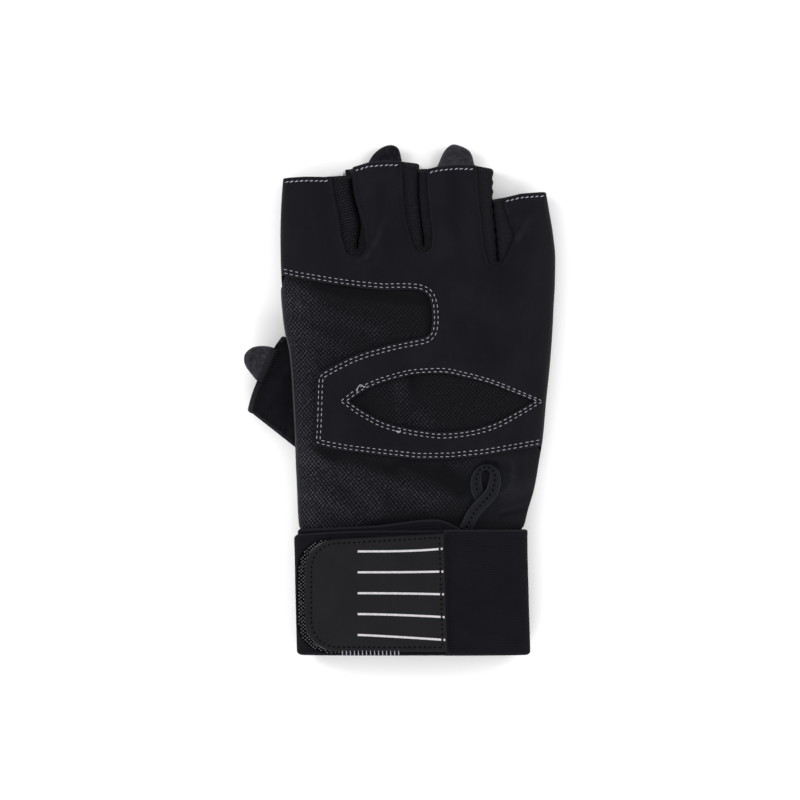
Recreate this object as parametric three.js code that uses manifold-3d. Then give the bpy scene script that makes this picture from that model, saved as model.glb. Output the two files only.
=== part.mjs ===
// A fingerless weightlifting glove with a wrist wrap, lying flat with its leather face up. Millimetres.
// +Z is up out of the leather face, +Y runs from the wrist to the fingers, and the thumb is on -X. The
// glove is hollow: every sheet is a wall, and the wrist, the four fingers and the thumb are open.
import * as THREE from 'three';
import { mergeVertices } from 'three/addons/utils/BufferGeometryUtils.js';
import Module from 'manifold-3d';

const wasm = await Module();
wasm.setup();
const { clamp, lerp, smoothstep } = THREE.MathUtils;

// Overall sizes
const PALM_WIDTH = 109.4; // across the knuckles, side seam to side seam
const HAND_LENGTH = 197; // lower edge of the wrap to the end of the middle finger
const PALM_HEIGHT = 24; // floor to the crown of the palm
const WRAP_WIDTH = 0.2538 * HAND_LENGTH; // of the elastic, 50 mm
const CUFF_EDGE = 0.012; // where the cuff starts, as a share of HAND_LENGTH

// Walls and clearances
const MESH_WALL = 1.2;
const LEATHER_WALL = 1.2;
const BACK_WALL = 1.4;
const GUSSET_WALL = 1.2;
const WRAP_WALL = 1.2;
const HOOK_WALL = 0.8;
const FLAP_WALL = 1.2;
const SLEEVE_WALL = 1.2;
const TAB_WALL = 1.2;
const LOOP_WALL = 1.1;
const STRIPE_WALL = 0.4;
const PLY_GAP = 0.3; // between any two plies that are sewn or lie on each other

// Shape of the body's sections
const FRONT_ROUNDING = 2.7; // exponent of the front's section: 2 is an ellipse, more is flatter
const BACK_ROUND = 9; // radius of the back's long edges
const SIDE_STEPS = 20; // facets across a sheet

// Gaps between the fingers
const SLIT_WIDTH = 1; // between neighbouring fingers at the back sheet
const GUSSET_LAP = 0.4; // how far a gusset's edge lies inside the edge of the sheet that covers it
const GUSSET_BULGE = 0.9;
const GUSSET_LEVELS = 4;
const VALLEY_DEPTH = 2.4; // how far the leather drops beside a gap
const VALLEY_REACH = 6;

// Thumb
const THUMB_WIDTH = 31.4; // across the open end
const THUMB_HEIGHT = 12;
const THUMB_LENGTH = 40; // from the open end to inside the palm
const THUMB_ROUNDING = 2.5; // exponent of its section: 2 is an ellipse, more is flatter
const THUMB_FLARE = 13.3; // degrees that each side opens towards the root
const THUMB_TURN = 24.9; // degrees that the open end turns up from -X towards the fingers
const THUMB_BOW = 1.6; // how far the open end's middle stands out
const THUMB_ROOT = 12; // length of the root's rounding, inside the palm
const THUMB_END = { across: -1.119, along: 0.5725 }; // middle of the open end, as in the tables below

// Pull tabs
const TAB_WIDTH = 14;
const TAB_REACH = 8; // beyond the edge that it is sewn to
const TAB_LAP = 5; // sewn length on the sheet
const TAB_CURL = 2.2; // lift of the tip

// Wrap, hook patch, flap and its stripes
const WRAP_FACETS = 17; // in half a turn
const FLAP_LENGTH = 56.4;
const FLAP_WIDTH = 0.892 * WRAP_WIDTH;
const FLAP_CORNER = 0.2 * WRAP_WIDTH;
const FLAP_RISE = 0.048 * WRAP_WIDTH; // how much wider the flap is at its sewn end
const HOOK_LENGTH = 0.585 * FLAP_LENGTH;
const HOOK_MARGIN = 0.06 * FLAP_LENGTH; // how far the hook patch shows past the flap's round end
const HOOK_LOW = 0.02 * WRAP_WIDTH; // from the wrap's lower edge to the hook patch
const STRIPE_COUNT = 5;
const STRIPE_WIDTH = 0.02 * WRAP_WIDTH;
const STRIPE_LENGTH = 0.62 * FLAP_LENGTH;
const STRIPE_PITCH = 0.166 * WRAP_WIDTH; // at the round end of the flap
const STRIPE_FAN = 0.019 * WRAP_WIDTH; // how much wider the pitch is at the sewn end

// Pull loop
const LOOP_WIDTH = 5.2;
const LOOP_STEPS = 26;

const HALF = PALM_WIDTH / 2;
const LEATHER_STEP = PLY_GAP + LEATHER_WALL; // how far the leather's face stands above the mesh
const WRAP_PITCH = WRAP_WALL + PLY_GAP; // how far the wrap moves out in one turn
const CUTTER_DEPTH = 4 * PALM_HEIGHT;

// In every table, along is a share of HAND_LENGTH from the wrap's lower edge, and left, right, across and
// fold are shares of half the palm's width from its middle line.

// The silhouette, with crown, the height of the mesh sheet's top as a share of PALM_HEIGHT, and seam, the
// height of the thumb-side seam as a share of the section's height.
const BODY_ROWS = [
  { along: 0.0, left: -0.82, right: 0.73, crown: 0.735, seam: 0.5 },
  { along: 0.12, left: -0.832, right: 0.715, crown: 0.735, seam: 0.5 },
  { along: 0.245, left: -0.842, right: 0.7, crown: 0.735, seam: 0.5 },
  { along: 0.262, left: -0.862, right: 0.74, crown: 0.755, seam: 0.5 },
  { along: 0.291, left: -0.87, right: 0.797, crown: 0.8, seam: 0.5 },
  { along: 0.34, left: -0.877, right: 0.848, crown: 0.865, seam: 0.53 },
  { along: 0.389, left: -0.885, right: 0.878, crown: 0.905, seam: 0.58 },
  { along: 0.438, left: -0.89, right: 0.907, crown: 0.93, seam: 0.62 },
  { along: 0.511, left: -0.903, right: 0.931, crown: 0.94, seam: 0.63 },
  { along: 0.584, left: -0.92, right: 0.958, crown: 0.94, seam: 0.62 },
  { along: 0.617, left: -0.934, right: 0.968, crown: 0.938, seam: 0.61 },
  { along: 0.657, left: -0.966, right: 0.978, crown: 0.935, seam: 0.6 },
  { along: 0.706, left: -0.987, right: 0.987, crown: 0.92, seam: 0.55 },
  { along: 0.754, left: -1.0, right: 0.996, crown: 0.895, seam: 0.5 },
  { along: 0.803, left: -1.002, right: 0.996, crown: 0.86, seam: 0.5 },
  { along: 0.852, left: -1.002, right: 0.98, crown: 0.81, seam: 0.5 },
  { along: 0.9, left: -1.0, right: 0.951, crown: 0.76, seam: 0.5 },
  { along: 0.966, left: -0.987, right: 0.911, crown: 0.7, seam: 0.5 },
  { along: 1.03, left: -0.972, right: 0.875, crown: 0.67, seam: 0.5 },
];

// The open ends of the fingers, from the thumb side to the little finger.
const END_ROWS = [
  { across: -1.3, along: 0.965 },
  { across: -0.987, along: 0.9663 },
  { across: -0.826, along: 0.9687 },
  { across: -0.68, along: 0.968 },
  { across: -0.549, along: 0.972 },
  { across: -0.547, along: 0.984 },
  { across: -0.475, along: 0.988 },
  { across: -0.369, along: 0.997 },
  { across: -0.241, along: 1.0 },
  { across: -0.117, along: 1.0 },
  { across: -0.022, along: 0.999 },
  { across: 0.004, along: 0.993 },
  { across: 0.006, along: 0.9843 },
  { across: 0.066, along: 0.984 },
  { across: 0.139, along: 0.989 },
  { across: 0.271, along: 0.9925 },
  { across: 0.417, along: 0.992 },
  { across: 0.502, along: 0.989 },
  { across: 0.54, along: 0.984 },
  { across: 0.542, along: 0.923 },
  { across: 0.622, along: 0.926 },
  { across: 0.741, along: 0.934 },
  { across: 0.9, along: 0.938 },
  { across: 1.3, along: 0.938 },
];

// The gaps between the fingers. left and right are the leather's edges, and fold is the line where the
// two fingers meet at the back. crotch is the lowest point of the leather's edge.
const GAPS = [
  {
    name: 'gusset_index_middle',
    crotch: 0.809,
    rows: [
      { along: 0.825, left: -0.54, right: -0.386, fold: -0.443 },
      { along: 0.85, left: -0.563, right: -0.388, fold: -0.452 },
      { along: 0.89, left: -0.583, right: -0.422, fold: -0.48 },
      { along: 0.94, left: -0.621, right: -0.467, fold: -0.524 },
      { along: 1.01, left: -0.65, right: -0.484, fold: -0.55 },
    ],
  },
  {
    name: 'gusset_middle_ring',
    crotch: 0.8146,
    rows: [
      { along: 0.83, left: -0.04, right: 0.094, fold: 0.037 },
      { along: 0.85, left: -0.064, right: 0.098, fold: 0.034 },
      { along: 0.89, left: -0.094, right: 0.083, fold: 0.021 },
      { along: 0.94, left: -0.114, right: 0.066, fold: 0.007 },
      { along: 1.01, left: -0.124, right: 0.058, fold: 0.005 },
    ],
  },
  {
    name: 'gusset_ring_little',
    crotch: 0.7864,
    rows: [
      { along: 0.8, left: 0.498, right: 0.62, fold: 0.578 },
      { along: 0.825, left: 0.472, right: 0.655, fold: 0.571 },
      { along: 0.85, left: 0.462, right: 0.69, fold: 0.563 },
      { along: 0.885, left: 0.45, right: 0.648, fold: 0.551 },
      { along: 0.93, left: 0.432, right: 0.613, fold: 0.54 },
      { along: 1.01, left: 0.413, right: 0.6, fold: 0.541 },
    ],
  },
];

// The leather's lower edge: in from the thumb side, round the hook, down and across to the little finger.
const LEATHER_EDGE = [
  { across: -1.3, along: 0.77 },
  { across: -0.987, along: 0.7625 },
  { across: -0.9, along: 0.759 },
  { across: -0.76, along: 0.754 },
  { across: -0.6, along: 0.7475 },
  { across: -0.431, along: 0.7425 },
  { across: -0.263, along: 0.738 },
  { across: -0.095, along: 0.739 },
  { across: 0.007, along: 0.737 },
  { across: 0.066, along: 0.729 },
  { across: 0.091, along: 0.71 },
  { across: 0.099, along: 0.677 },
  { across: 0.088, along: 0.653 },
  { across: 0.051, along: 0.6434 },
  { across: -0.044, along: 0.6386 },
  { across: -0.161, along: 0.632 },
  { across: -0.271, along: 0.6244 },
  { across: -0.391, along: 0.615 },
  { across: -0.512, along: 0.602 },
  { across: -0.633, along: 0.5846 },
  { across: -0.735, along: 0.5706 },
  { across: -0.752, along: 0.562 },
  { across: -0.757, along: 0.529 },
  { across: -0.763, along: 0.47 },
  { across: -0.772, along: 0.426 },
  { across: -0.644, along: 0.4183 },
  { across: -0.534, along: 0.413 },
  { across: -0.292, along: 0.4047 },
  { across: 0.0, along: 0.396 },
  { across: 0.234, along: 0.397 },
  { across: 0.483, along: 0.404 },
  { across: 0.695, along: 0.414 },
  { across: 0.907, along: 0.4244 },
  { across: 1.3, along: 0.44 },
];

// The pull tabs. Each outline runs from the edge that the tab is sewn to out to its tip: out is a share of
// the tab's reach, and left and right are shares of half its width. width and reach are shares of
// TAB_WIDTH and TAB_REACH.
const MIDDLE_TAB = {
  across: -0.2405,
  along: 0.997,
  width: 0.94,
  reach: 0.89,
  outline: [
    { out: 0, left: -1, right: 1 },
    { out: 0.22, left: -0.87, right: 0.97 },
    { out: 0.45, left: -0.72, right: 0.92 },
    { out: 0.7, left: -0.44, right: 0.85 },
    { out: 0.88, left: -0.16, right: 0.76 },
    { out: 1, left: 0.2, right: 0.5 },
  ],
};
const RING_TAB = {
  across: 0.278,
  along: 0.9887,
  width: 1.06,
  reach: 1.13,
  outline: [
    { out: 0, left: -1, right: 1 },
    { out: 0.2, left: -0.89, right: 0.95 },
    { out: 0.44, left: -0.77, right: 0.89 },
    { out: 0.7, left: -0.62, right: 0.76 },
    { out: 0.86, left: -0.44, right: 0.46 },
    { out: 1, left: -0.24, right: -0.02 },
  ],
};
const THUMB_TAB = {
  shift: 0.24,
  width: 1.04,
  reach: 1.045,
  outline: [
    { out: 0, left: -1, right: 1 },
    { out: 0.2, left: -0.885, right: 0.95 },
    { out: 0.45, left: -0.735, right: 0.84 },
    { out: 0.7, left: -0.58, right: 0.67 },
    { out: 0.88, left: -0.38, right: 0.47 },
    { out: 1, left: -0.1, right: 0.14 },
  ],
};

// The eye-shaped window: its size, its middle, and its two edges, at in shares of half its length and
// upper and lower in shares of its height.
const EYE_LENGTH = 73.2;
const EYE_HEIGHT = 23.2;
const EYE_ACROSS = 0.168;
const EYE_ALONG = 0.514;
const EYE_ROWS = [
  { at: -1, upper: 0, lower: 0 },
  { at: -0.81, upper: 0.2, lower: 0.2 },
  { at: -0.55, upper: 0.355, lower: 0.39 },
  { at: -0.25, upper: 0.455, lower: 0.49 },
  { at: 0, upper: 0.47, lower: 0.53 },
  { at: 0.24, upper: 0.405, lower: 0.5 },
  { at: 0.5, upper: 0.3, lower: 0.405 },
  { at: 0.79, upper: 0.13, lower: 0.19 },
  { at: 1, upper: 0, lower: 0 },
];

// Soft folds of the mesh and the leather: each is a ridge from one point to another, with height and
// reach as shares of PALM_HEIGHT.
const FOLDS = [
  { fromAcross: -0.92, fromAlong: 0.71, toAcross: -0.3, toAlong: 0.655, height: 0.035, reach: 0.14 },
  { fromAcross: -0.9, fromAlong: 0.655, toAcross: -0.55, toAlong: 0.62, height: 0.03, reach: 0.13 },
  { fromAcross: -0.82, fromAlong: 0.4, toAcross: -0.3, toAlong: 0.3, height: 0.05, reach: 0.16 },
  { fromAcross: -0.5, fromAlong: 0.385, toAcross: 0.1, toAlong: 0.31, height: 0.045, reach: 0.16 },
  { fromAcross: -0.8, fromAlong: 0.33, toAcross: -0.5, toAlong: 0.285, height: 0.035, reach: 0.12 },
  { fromAcross: 0.62, fromAlong: 0.33, toAcross: 0.84, toAlong: 0.345, height: 0.035, reach: 0.14 },
  { fromAcross: -0.13, fromAlong: 0.545, toAcross: 0.05, toAlong: 0.465, height: 0.045, reach: 0.16 },
  { fromAcross: -0.3, fromAlong: 0.8, toAcross: -0.4, toAlong: 0.79, height: 0.025, reach: 0.2 },
  { fromAcross: 0.68, fromAlong: 0.86, toAcross: 0.8, toAlong: 0.885, height: 0.04, reach: 0.17 },
];

// Where the wrap starts and ends, counted in half turns: 0 to 1 runs over the front from right to left, 1
// to 2 under the back from left to right, and so on. along is the half turn here, and lift is how far the
// upper edge stands past the nominal width, as a share.
const WRAP_START = 0.35;
const WRAP_END = 4.41;
const HOOK_TURN = 3; // where the turn with the hook patch on it leaves the front
const BACK_TURN = 4; // where the outermost turn leaves the back
const WRAP_ROWS = [
  { along: 0.35, lift: 0.0 },
  { along: 0.44, lift: 0.085 },
  { along: 0.62, lift: 0.032 },
  { along: 0.95, lift: 0.006 },
  { along: 2.0, lift: 0.0 },
  { along: 2.6, lift: -0.004 },
  { along: 3.0, lift: -0.04 },
  { along: 3.5, lift: -0.015 },
  { along: 4.0, lift: 0.0 },
  { along: 4.41, lift: 0.004 },
];

// The pull loop's line: up from the wrap, over the top, and down behind itself. rise is its height over
// the mesh in thicknesses of the loop, and width its width, as a share.
const LOOP_ROWS = [
  { across: 0.352, along: 0.261, rise: 0.1, width: 1 },
  { across: 0.398, along: 0.287, rise: 0.75, width: 1 },
  { across: 0.445, along: 0.303, rise: 1.2, width: 1 },
  { across: 0.495, along: 0.3174, rise: 1.35, width: 1 },
  { across: 0.532, along: 0.3314, rise: 1.25, width: 1 },
  { across: 0.551, along: 0.351, rise: 0.9, width: 0.95 },
  { across: 0.544, along: 0.367, rise: 0.6, width: 0.85 },
  { across: 0.505, along: 0.3775, rise: 0.35, width: 0.72 },
  { across: 0.452, along: 0.375, rise: 0.15, width: 0.75 },
  { across: 0.425, along: 0.358, rise: 0, width: 0.8 },
  { across: 0.43, along: 0.3385, rise: 0, width: 0.85 },
  { across: 0.45, along: 0.322, rise: 0, width: 0.85 },
  { across: 0.47, along: 0.312, rise: 0, width: 0.85 },
];

const planPoint = (row) => new THREE.Vector2(row.across * HALF, row.along * HAND_LENGTH);
const steps = (from, to, count) => Array.from({ length: count + 1 }, (_, i) => lerp(from, to, i / count));

// A smooth curve through one column of a table, read at a value of its along column, which never
// overshoots.
function curveThrough(rows, column) {
  const at = rows.map((row) => row.along);
  const value = rows.map((row) => row[column]);
  const rise = at.slice(1).map((a, i) => (value[i + 1] - value[i]) / (a - at[i]));
  const slope = value.map((_, i) => {
    const before = rise[i - 1];
    const after = rise[i];
    if (before === undefined || after === undefined) return before ?? after;
    return before * after <= 0 ? 0 : (2 * before * after) / (before + after);
  });
  return (along) => {
    const x = clamp(along, at[0], at.at(-1));
    const i = Math.max(0, at.findIndex((a, k) => k > 0 && x <= a) - 1);
    const span = at[i + 1] - at[i];
    const t = (x - at[i]) / span;
    const blend = t * t * (3 - 2 * t);
    const bend = span * t * (1 - t) * ((1 - t) * slope[i] - t * slope[i + 1]);
    return lerp(value[i], value[i + 1], blend) + bend;
  };
}

const bodyLeft = curveThrough(BODY_ROWS, 'left');
const bodyRight = curveThrough(BODY_ROWS, 'right');
const bodyCrown = curveThrough(BODY_ROWS, 'crown');
const bodySeam = curveThrough(BODY_ROWS, 'seam');
const gaps = GAPS.map((gap) => ({
  ...gap,
  left: curveThrough(gap.rows, 'left'),
  right: curveThrough(gap.rows, 'right'),
  fold: curveThrough(gap.rows, 'fold'),
}));

// Heights that the wrap sets: the cuff stands on the turns of the wrap below it.
const wrapOffset = (turn) => PLY_GAP + (WRAP_PITCH * (turn - WRAP_START)) / 2;
const CUFF_FOOT = wrapOffset(BACK_TURN) + WRAP_WALL;
const WRAP_SHARE = WRAP_WIDTH / HAND_LENGTH;
const CUFF_RAMP = 0.07; // share of the length over which the back comes down from the wrap to the floor

// Height of the back's outer face above the floor: up on the wrap at the cuff, and flat on the floor at
// the palm.
function footAt(along) {
  return CUFF_FOOT * (1 - smoothstep(along, WRAP_SHARE, WRAP_SHARE + CUFF_RAMP));
}

function crownAt(along) {
  return bodyCrown(along) * PALM_HEIGHT;
}

// Height of the side seam on the thumb side (side -1) or the little finger's side (side 1).
function seamAt(along, side) {
  const share = side < 0 ? bodySeam(along) : 0.5;
  return lerp(footAt(along), crownAt(along), share);
}

// 1 where the leather reaches the side seam, 0 where the mesh does.
function leatherCover(along, side) {
  const edge = side < 0 ? LEATHER_EDGE[1].along : LEATHER_EDGE.at(-2).along;
  return smoothstep(along, edge - 0.02, edge);
}

// Rows of facets along the glove, shared by all the body's sheets so that they nest. The mesh ends below
// the lowest finger gap, under the leather.
const LOWEST_CROTCH = Math.min(...GAPS.map((gap) => gap.crotch));
const MESH_TOP = LOWEST_CROTCH - (GUSSET_LAP + GUSSET_WALL + 2 * PLY_GAP) / HAND_LENGTH;
const bodyRows = [
  ...[CUFF_EDGE, 0.08, 0.16, 0.235, 0.252, 0.268, 0.292, 0.316],
  ...steps(0.34, 0.75, 12),
  MESH_TOP,
  ...steps(0.8, 1.03, 8),
];

// Height that the finger gaps and the folds add to the front at a point, in millimetres.
function reliefAt(x, along) {
  let relief = 0;
  for (const gap of gaps) {
    const left = gap.left(along) * HALF;
    const right = gap.right(along) * HALF;
    const open = smoothstep(along, gap.crotch - 0.05, gap.crotch + 0.02);
    const middle = (left + right) / 2;
    const away = Math.max(0, Math.abs(x - middle) - (open * (right - left)) / 2);
    const strength = smoothstep(along, gap.crotch - 0.09, gap.crotch);
    relief -= VALLEY_DEPTH * strength * Math.exp(-((away / VALLEY_REACH) ** 2));
  }
  for (const fold of FOLDS) {
    const from = new THREE.Vector2(fold.fromAcross * HALF, fold.fromAlong * HAND_LENGTH);
    const run = new THREE.Vector2(fold.toAcross * HALF, fold.toAlong * HAND_LENGTH).sub(from);
    const point = new THREE.Vector2(x, along * HAND_LENGTH).sub(from);
    const share = clamp(point.dot(run) / run.lengthSq(), 0, 1);
    const away = point.sub(run.clone().multiplyScalar(share)).length() / (fold.reach * PALM_HEIGHT);
    relief += fold.height * PALM_HEIGHT * Math.exp(-away * away);
  }
  return relief;
}

// Middle and half width of the front's section, grown by offset. The mesh lies inside the leather's wall.
function frontSpan(along, offset) {
  const left = bodyLeft(along) * HALF + LEATHER_STEP * leatherCover(along, -1);
  const right = bodyRight(along) * HALF - LEATHER_STEP * leatherCover(along, 1);
  return { middle: (left + right) / 2, half: (right - left) / 2 + offset };
}

// Height of the front at a point. offset 0 is the mesh's outer face, and more lies further out.
function frontHeight(x, along, offset, seamGap = PLY_GAP / 2) {
  const { middle, half } = frontSpan(along, offset);
  const across = clamp((x - middle) / half, -1, 1);
  const seam = seamAt(along, across) + seamGap;
  const top = crownAt(along) + offset + reliefAt(x, along);
  return seam + (top - seam) * (1 - Math.abs(across) ** FRONT_ROUNDING) ** (1 / FRONT_ROUNDING);
}

// A point of the front, side running from -1 at the thumb-side seam to 1 at the other.
function frontPoint(along, side, offset, seamGap) {
  const { middle, half } = frontSpan(along, offset);
  const x = middle + half * Math.sin((side * Math.PI) / 2);
  return new THREE.Vector3(x, along * HAND_LENGTH, frontHeight(x, along, offset, seamGap));
}

// A point of the back: flat below, with round long edges up to the side seams.
function backPoint(along, side, offset, seamGap = PLY_GAP / 2) {
  const left = bodyLeft(along) * HALF;
  const right = bodyRight(along) * HALF;
  const half = (right - left) / 2 + offset;
  const across = Math.sin((side * Math.PI) / 2);
  const foot = footAt(along) - offset;
  const seam = seamAt(along, across) - seamGap;
  const round = clamp((Math.abs(across) * half - (half - BACK_ROUND)) / BACK_ROUND, 0, 1);
  const height = foot + (seam - foot) * (1 - Math.sqrt(1 - round * round));
  return new THREE.Vector3((left + right) / 2 + half * across, along * HAND_LENGTH, height);
}

// A closed body between two grids of points, outer and inner, with the same rows and columns.
function slab(outer, inner) {
  const rows = outer.length;
  const columns = outer[0].length;
  const inside = rows * columns;
  const index = [];
  const quad = (a, b, c, d) => index.push(a, b, c, a, c, d);
  for (let j = 0; j < rows - 1; j++) {
    for (let i = 0; i < columns - 1; i++) {
      const a = j * columns + i;
      quad(a, a + 1, a + columns + 1, a + columns);
      quad(inside + a, inside + a + columns, inside + a + columns + 1, inside + a + 1);
    }
  }
  const rim = [];
  for (let i = 0; i < columns; i++) rim.push(i);
  for (let j = 1; j < rows; j++) rim.push(j * columns + columns - 1);
  for (let i = columns - 2; i >= 0; i--) rim.push((rows - 1) * columns + i);
  for (let j = rows - 2; j > 0; j--) rim.push(j * columns);
  rim.forEach((a, k) => {
    const b = rim[(k + 1) % rim.length];
    quad(a, inside + a, inside + b, b);
  });
  const geometry = new THREE.BufferGeometry().setFromPoints([...outer.flat(), ...inner.flat()]);
  geometry.setIndex(index);
  return geometry;
}

// A closed tube from rings of points, with both ends filled.
function tube(rings) {
  const count = rings[0].length;
  const index = [];
  for (let j = 0; j < rings.length - 1; j++) {
    for (let i = 0; i < count; i++) {
      const a = j * count + i;
      const b = j * count + ((i + 1) % count);
      index.push(a, b, b + count, a, b + count, a + count);
    }
  }
  const last = (rings.length - 1) * count;
  for (let i = 1; i < count - 1; i++) {
    index.push(0, i + 1, i);
    index.push(last, last + i, last + i + 1);
  }
  const geometry = new THREE.BufferGeometry().setFromPoints(rings.flat());
  geometry.setIndex(index);
  return geometry;
}

function solidOf(geometry) {
  const bare = new THREE.BufferGeometry().setAttribute('position', geometry.getAttribute('position'));
  bare.setIndex(geometry.getIndex());
  const merged = mergeVertices(bare, 1e-4);
  const make = (triangles) =>
    new wasm.Manifold(
      new wasm.Mesh({ numProp: 3, vertProperties: merged.attributes.position.array, triVerts: triangles }),
    );
  const triangles = new Uint32Array(merged.index.array);
  const solid = make(triangles);
  return solid.volume() > 0 ? solid : make(triangles.reverse());
}

function geometryOf(solid) {
  const { vertProperties, triVerts } = solid.getMesh();
  const geometry = new THREE.BufferGeometry();
  geometry.setAttribute('position', new THREE.BufferAttribute(vertProperties, 3));
  geometry.setIndex(new THREE.BufferAttribute(triVerts, 1));
  geometry.computeVertexNormals();
  return geometry;
}

// An upright cutter with the plan outline given.
function cutter(points) {
  const shape = new THREE.Shape(points);
  const geometry = new THREE.ExtrudeGeometry(shape, { depth: CUTTER_DEPTH, bevelEnabled: false });
  return solidOf(geometry.translate(0, 0, -CUTTER_DEPTH / 2));
}

// A sheet over the front or the back, between two shares of the length.
function sheet(pointAt, alongs, outerOffset, innerOffset) {
  const grid = (offset) =>
    alongs.map((along) => steps(-1, 1, SIDE_STEPS).map((side) => pointAt(along, side, offset)));
  return slab(grid(outerOffset), grid(innerOffset));
}

// The stepped outline of the finger ends, closed below the wrist.
function endsOutline() {
  const low = -0.5 * HAND_LENGTH;
  const ends = END_ROWS.map(planPoint);
  return [new THREE.Vector2(ends[0].x, low), ...ends, new THREE.Vector2(ends.at(-1).x, low)];
}

// The line round a gap, down one finger, round the crotch and up the other, with the way into the sheet
// at each point. sidesAt gives the two sides at a share of the length, and bottom is the lowest share.
function gapLine(gap, sidesAt, bottom) {
  const first = gap.rows[0].along;
  const top = gap.rows.at(-1).along;
  const legs = steps(top, first, 9);
  const [left, right] = sidesAt(first);
  const round = steps(0, Math.PI, 6).slice(1, -1);
  const points = [
    ...legs.map((along) => new THREE.Vector2(sidesAt(along)[0], along * HAND_LENGTH)),
    ...round.map((angle) => {
      const x = (left + right) / 2 - (Math.cos(angle) * (right - left)) / 2;
      const y = lerp(first, bottom, Math.sin(angle)) * HAND_LENGTH;
      return new THREE.Vector2(x, y);
    }),
    ...legs.reverse().map((along) => new THREE.Vector2(sidesAt(along)[1], along * HAND_LENGTH)),
  ];
  return points.map((point, i) => {
    const next = points[Math.min(i + 1, points.length - 1)];
    const run = next.clone().sub(points[Math.max(i - 1, 0)]).normalize();
    return { point, into: new THREE.Vector2(run.y, -run.x) };
  });
}

const leatherLine = (gap) =>
  gapLine(gap, (along) => [gap.left(along) * HALF, gap.right(along) * HALF], gap.crotch);

function slitLine(gap) {
  const sidesAt = (along) => {
    const fold = gap.fold(along) * HALF;
    return [fold - SLIT_WIDTH / 2, fold + SLIT_WIDTH / 2];
  };
  return gapLine(gap, sidesAt, gap.rows[0].along - SLIT_WIDTH / 2 / HAND_LENGTH);
}

function eyeOutline() {
  const rows = EYE_ROWS.map((row) => ({ ...row, along: row.at }));
  const upper = curveThrough(rows, 'upper');
  const lower = curveThrough(rows, 'lower');
  const middle = planPoint({ across: EYE_ACROSS, along: EYE_ALONG });
  const edge = (ats, height) =>
    ats.map((at) => new THREE.Vector2(middle.x + (at * EYE_LENGTH) / 2, middle.y + height(at) * EYE_HEIGHT));
  return [
    ...edge(steps(-1, 1, 16), upper),
    ...edge(steps(1, -1, 16).slice(1, -1), (at) => -lower(at)),
  ];
}

// The leather: one sheet over the fingers and the palm, cut to its lower edge, the finger gaps and the
// eye.
function palmLeather() {
  const rows = bodyRows.filter((along) => along > 0.36);
  let solid = solidOf(sheet(frontPoint, rows, LEATHER_STEP, PLY_GAP));
  const ends = END_ROWS.map(planPoint);
  const edge = LEATHER_EDGE.map(planPoint).reverse();
  solid = solid.intersect(cutter([...ends, ...edge]));
  for (const gap of gaps) solid = solid.subtract(cutter(leatherLine(gap).map(({ point }) => point)));
  return solid.subtract(cutter(eyeOutline()));
}

const thumbTurn = THREE.MathUtils.degToRad(THUMB_TURN);
const thumbOutward = new THREE.Vector2(-Math.cos(thumbTurn), Math.sin(thumbTurn));
const thumbAcross = new THREE.Vector2(thumbOutward.y, -thumbOutward.x);
const thumbEnd = planPoint(THUMB_END);

// The thumb's form, grown by offset: a flattened tube that lies on the floor and widens towards its round
// root. openBy makes it longer at the open end.
function thumbForm(offset, openBy) {
  const flare = Math.tan(THREE.MathUtils.degToRad(THUMB_FLARE));
  const height = THUMB_HEIGHT / 2;
  const straight = THUMB_LENGTH - THUMB_ROOT;
  const ring = ({ out, width }) => {
    const half = (THUMB_WIDTH / 2 - Math.min(out, 0) * flare + offset) * width;
    return steps(0, 2 * Math.PI, 20).slice(0, -1).map((angle) => {
      const c = Math.cos(angle);
      const s = Math.sin(angle);
      const sideways = half * Math.sign(c) * Math.abs(c) ** (2 / THUMB_ROUNDING);
      const up = height + (height + offset) * Math.sign(s) * Math.abs(s) ** (2 / THUMB_ROUNDING);
      const plan = thumbEnd.clone().addScaledVector(thumbAcross, sideways);
      plan.addScaledVector(thumbOutward, out + THUMB_BOW * (1 - c * c));
      return new THREE.Vector3(plan.x, plan.y, up);
    });
  };
  const outs = [openBy, ...steps(0, -straight, 3).slice(openBy ? 0 : 1)];
  const rounds = steps(0, 0.98, 4).slice(1).map((share) => Math.sin((share * Math.PI) / 2));
  const rings = [
    ...outs.map((out) => ring({ out, width: 1 })),
    ...rounds.map((share) =>
      ring({ out: -straight - share * (THUMB_ROOT + offset), width: Math.sqrt(1 - share ** 2) }),
    ),
  ];
  return solidOf(tube(rings));
}

// The space inside the body, which the thumb opens into.
function bodyCavity() {
  const rings = bodyRows.filter((along) => along > 0.3 && along < 0.8).map((along) => [
    ...steps(-1, 1, SIDE_STEPS).map((side) => backPoint(along, side, -BACK_WALL)),
    ...steps(1, -1, SIDE_STEPS).map((side) => frontPoint(along, side, -MESH_WALL)),
  ]);
  return solidOf(tube(rings));
}

function backPanel() {
  let solid = solidOf(sheet(backPoint, bodyRows, 0, -BACK_WALL));
  solid = solid.intersect(cutter(endsOutline()));
  for (const gap of gaps) solid = solid.subtract(cutter(slitLine(gap).map(({ point }) => point)));
  return solid.subtract(thumbForm(PLY_GAP, 0));
}

function thumbSleeve() {
  const bore = thumbForm(-SLEEVE_WALL, THUMB_WIDTH / 6);
  return thumbForm(0, 0).subtract(bore).subtract(bodyCavity());
}

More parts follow.
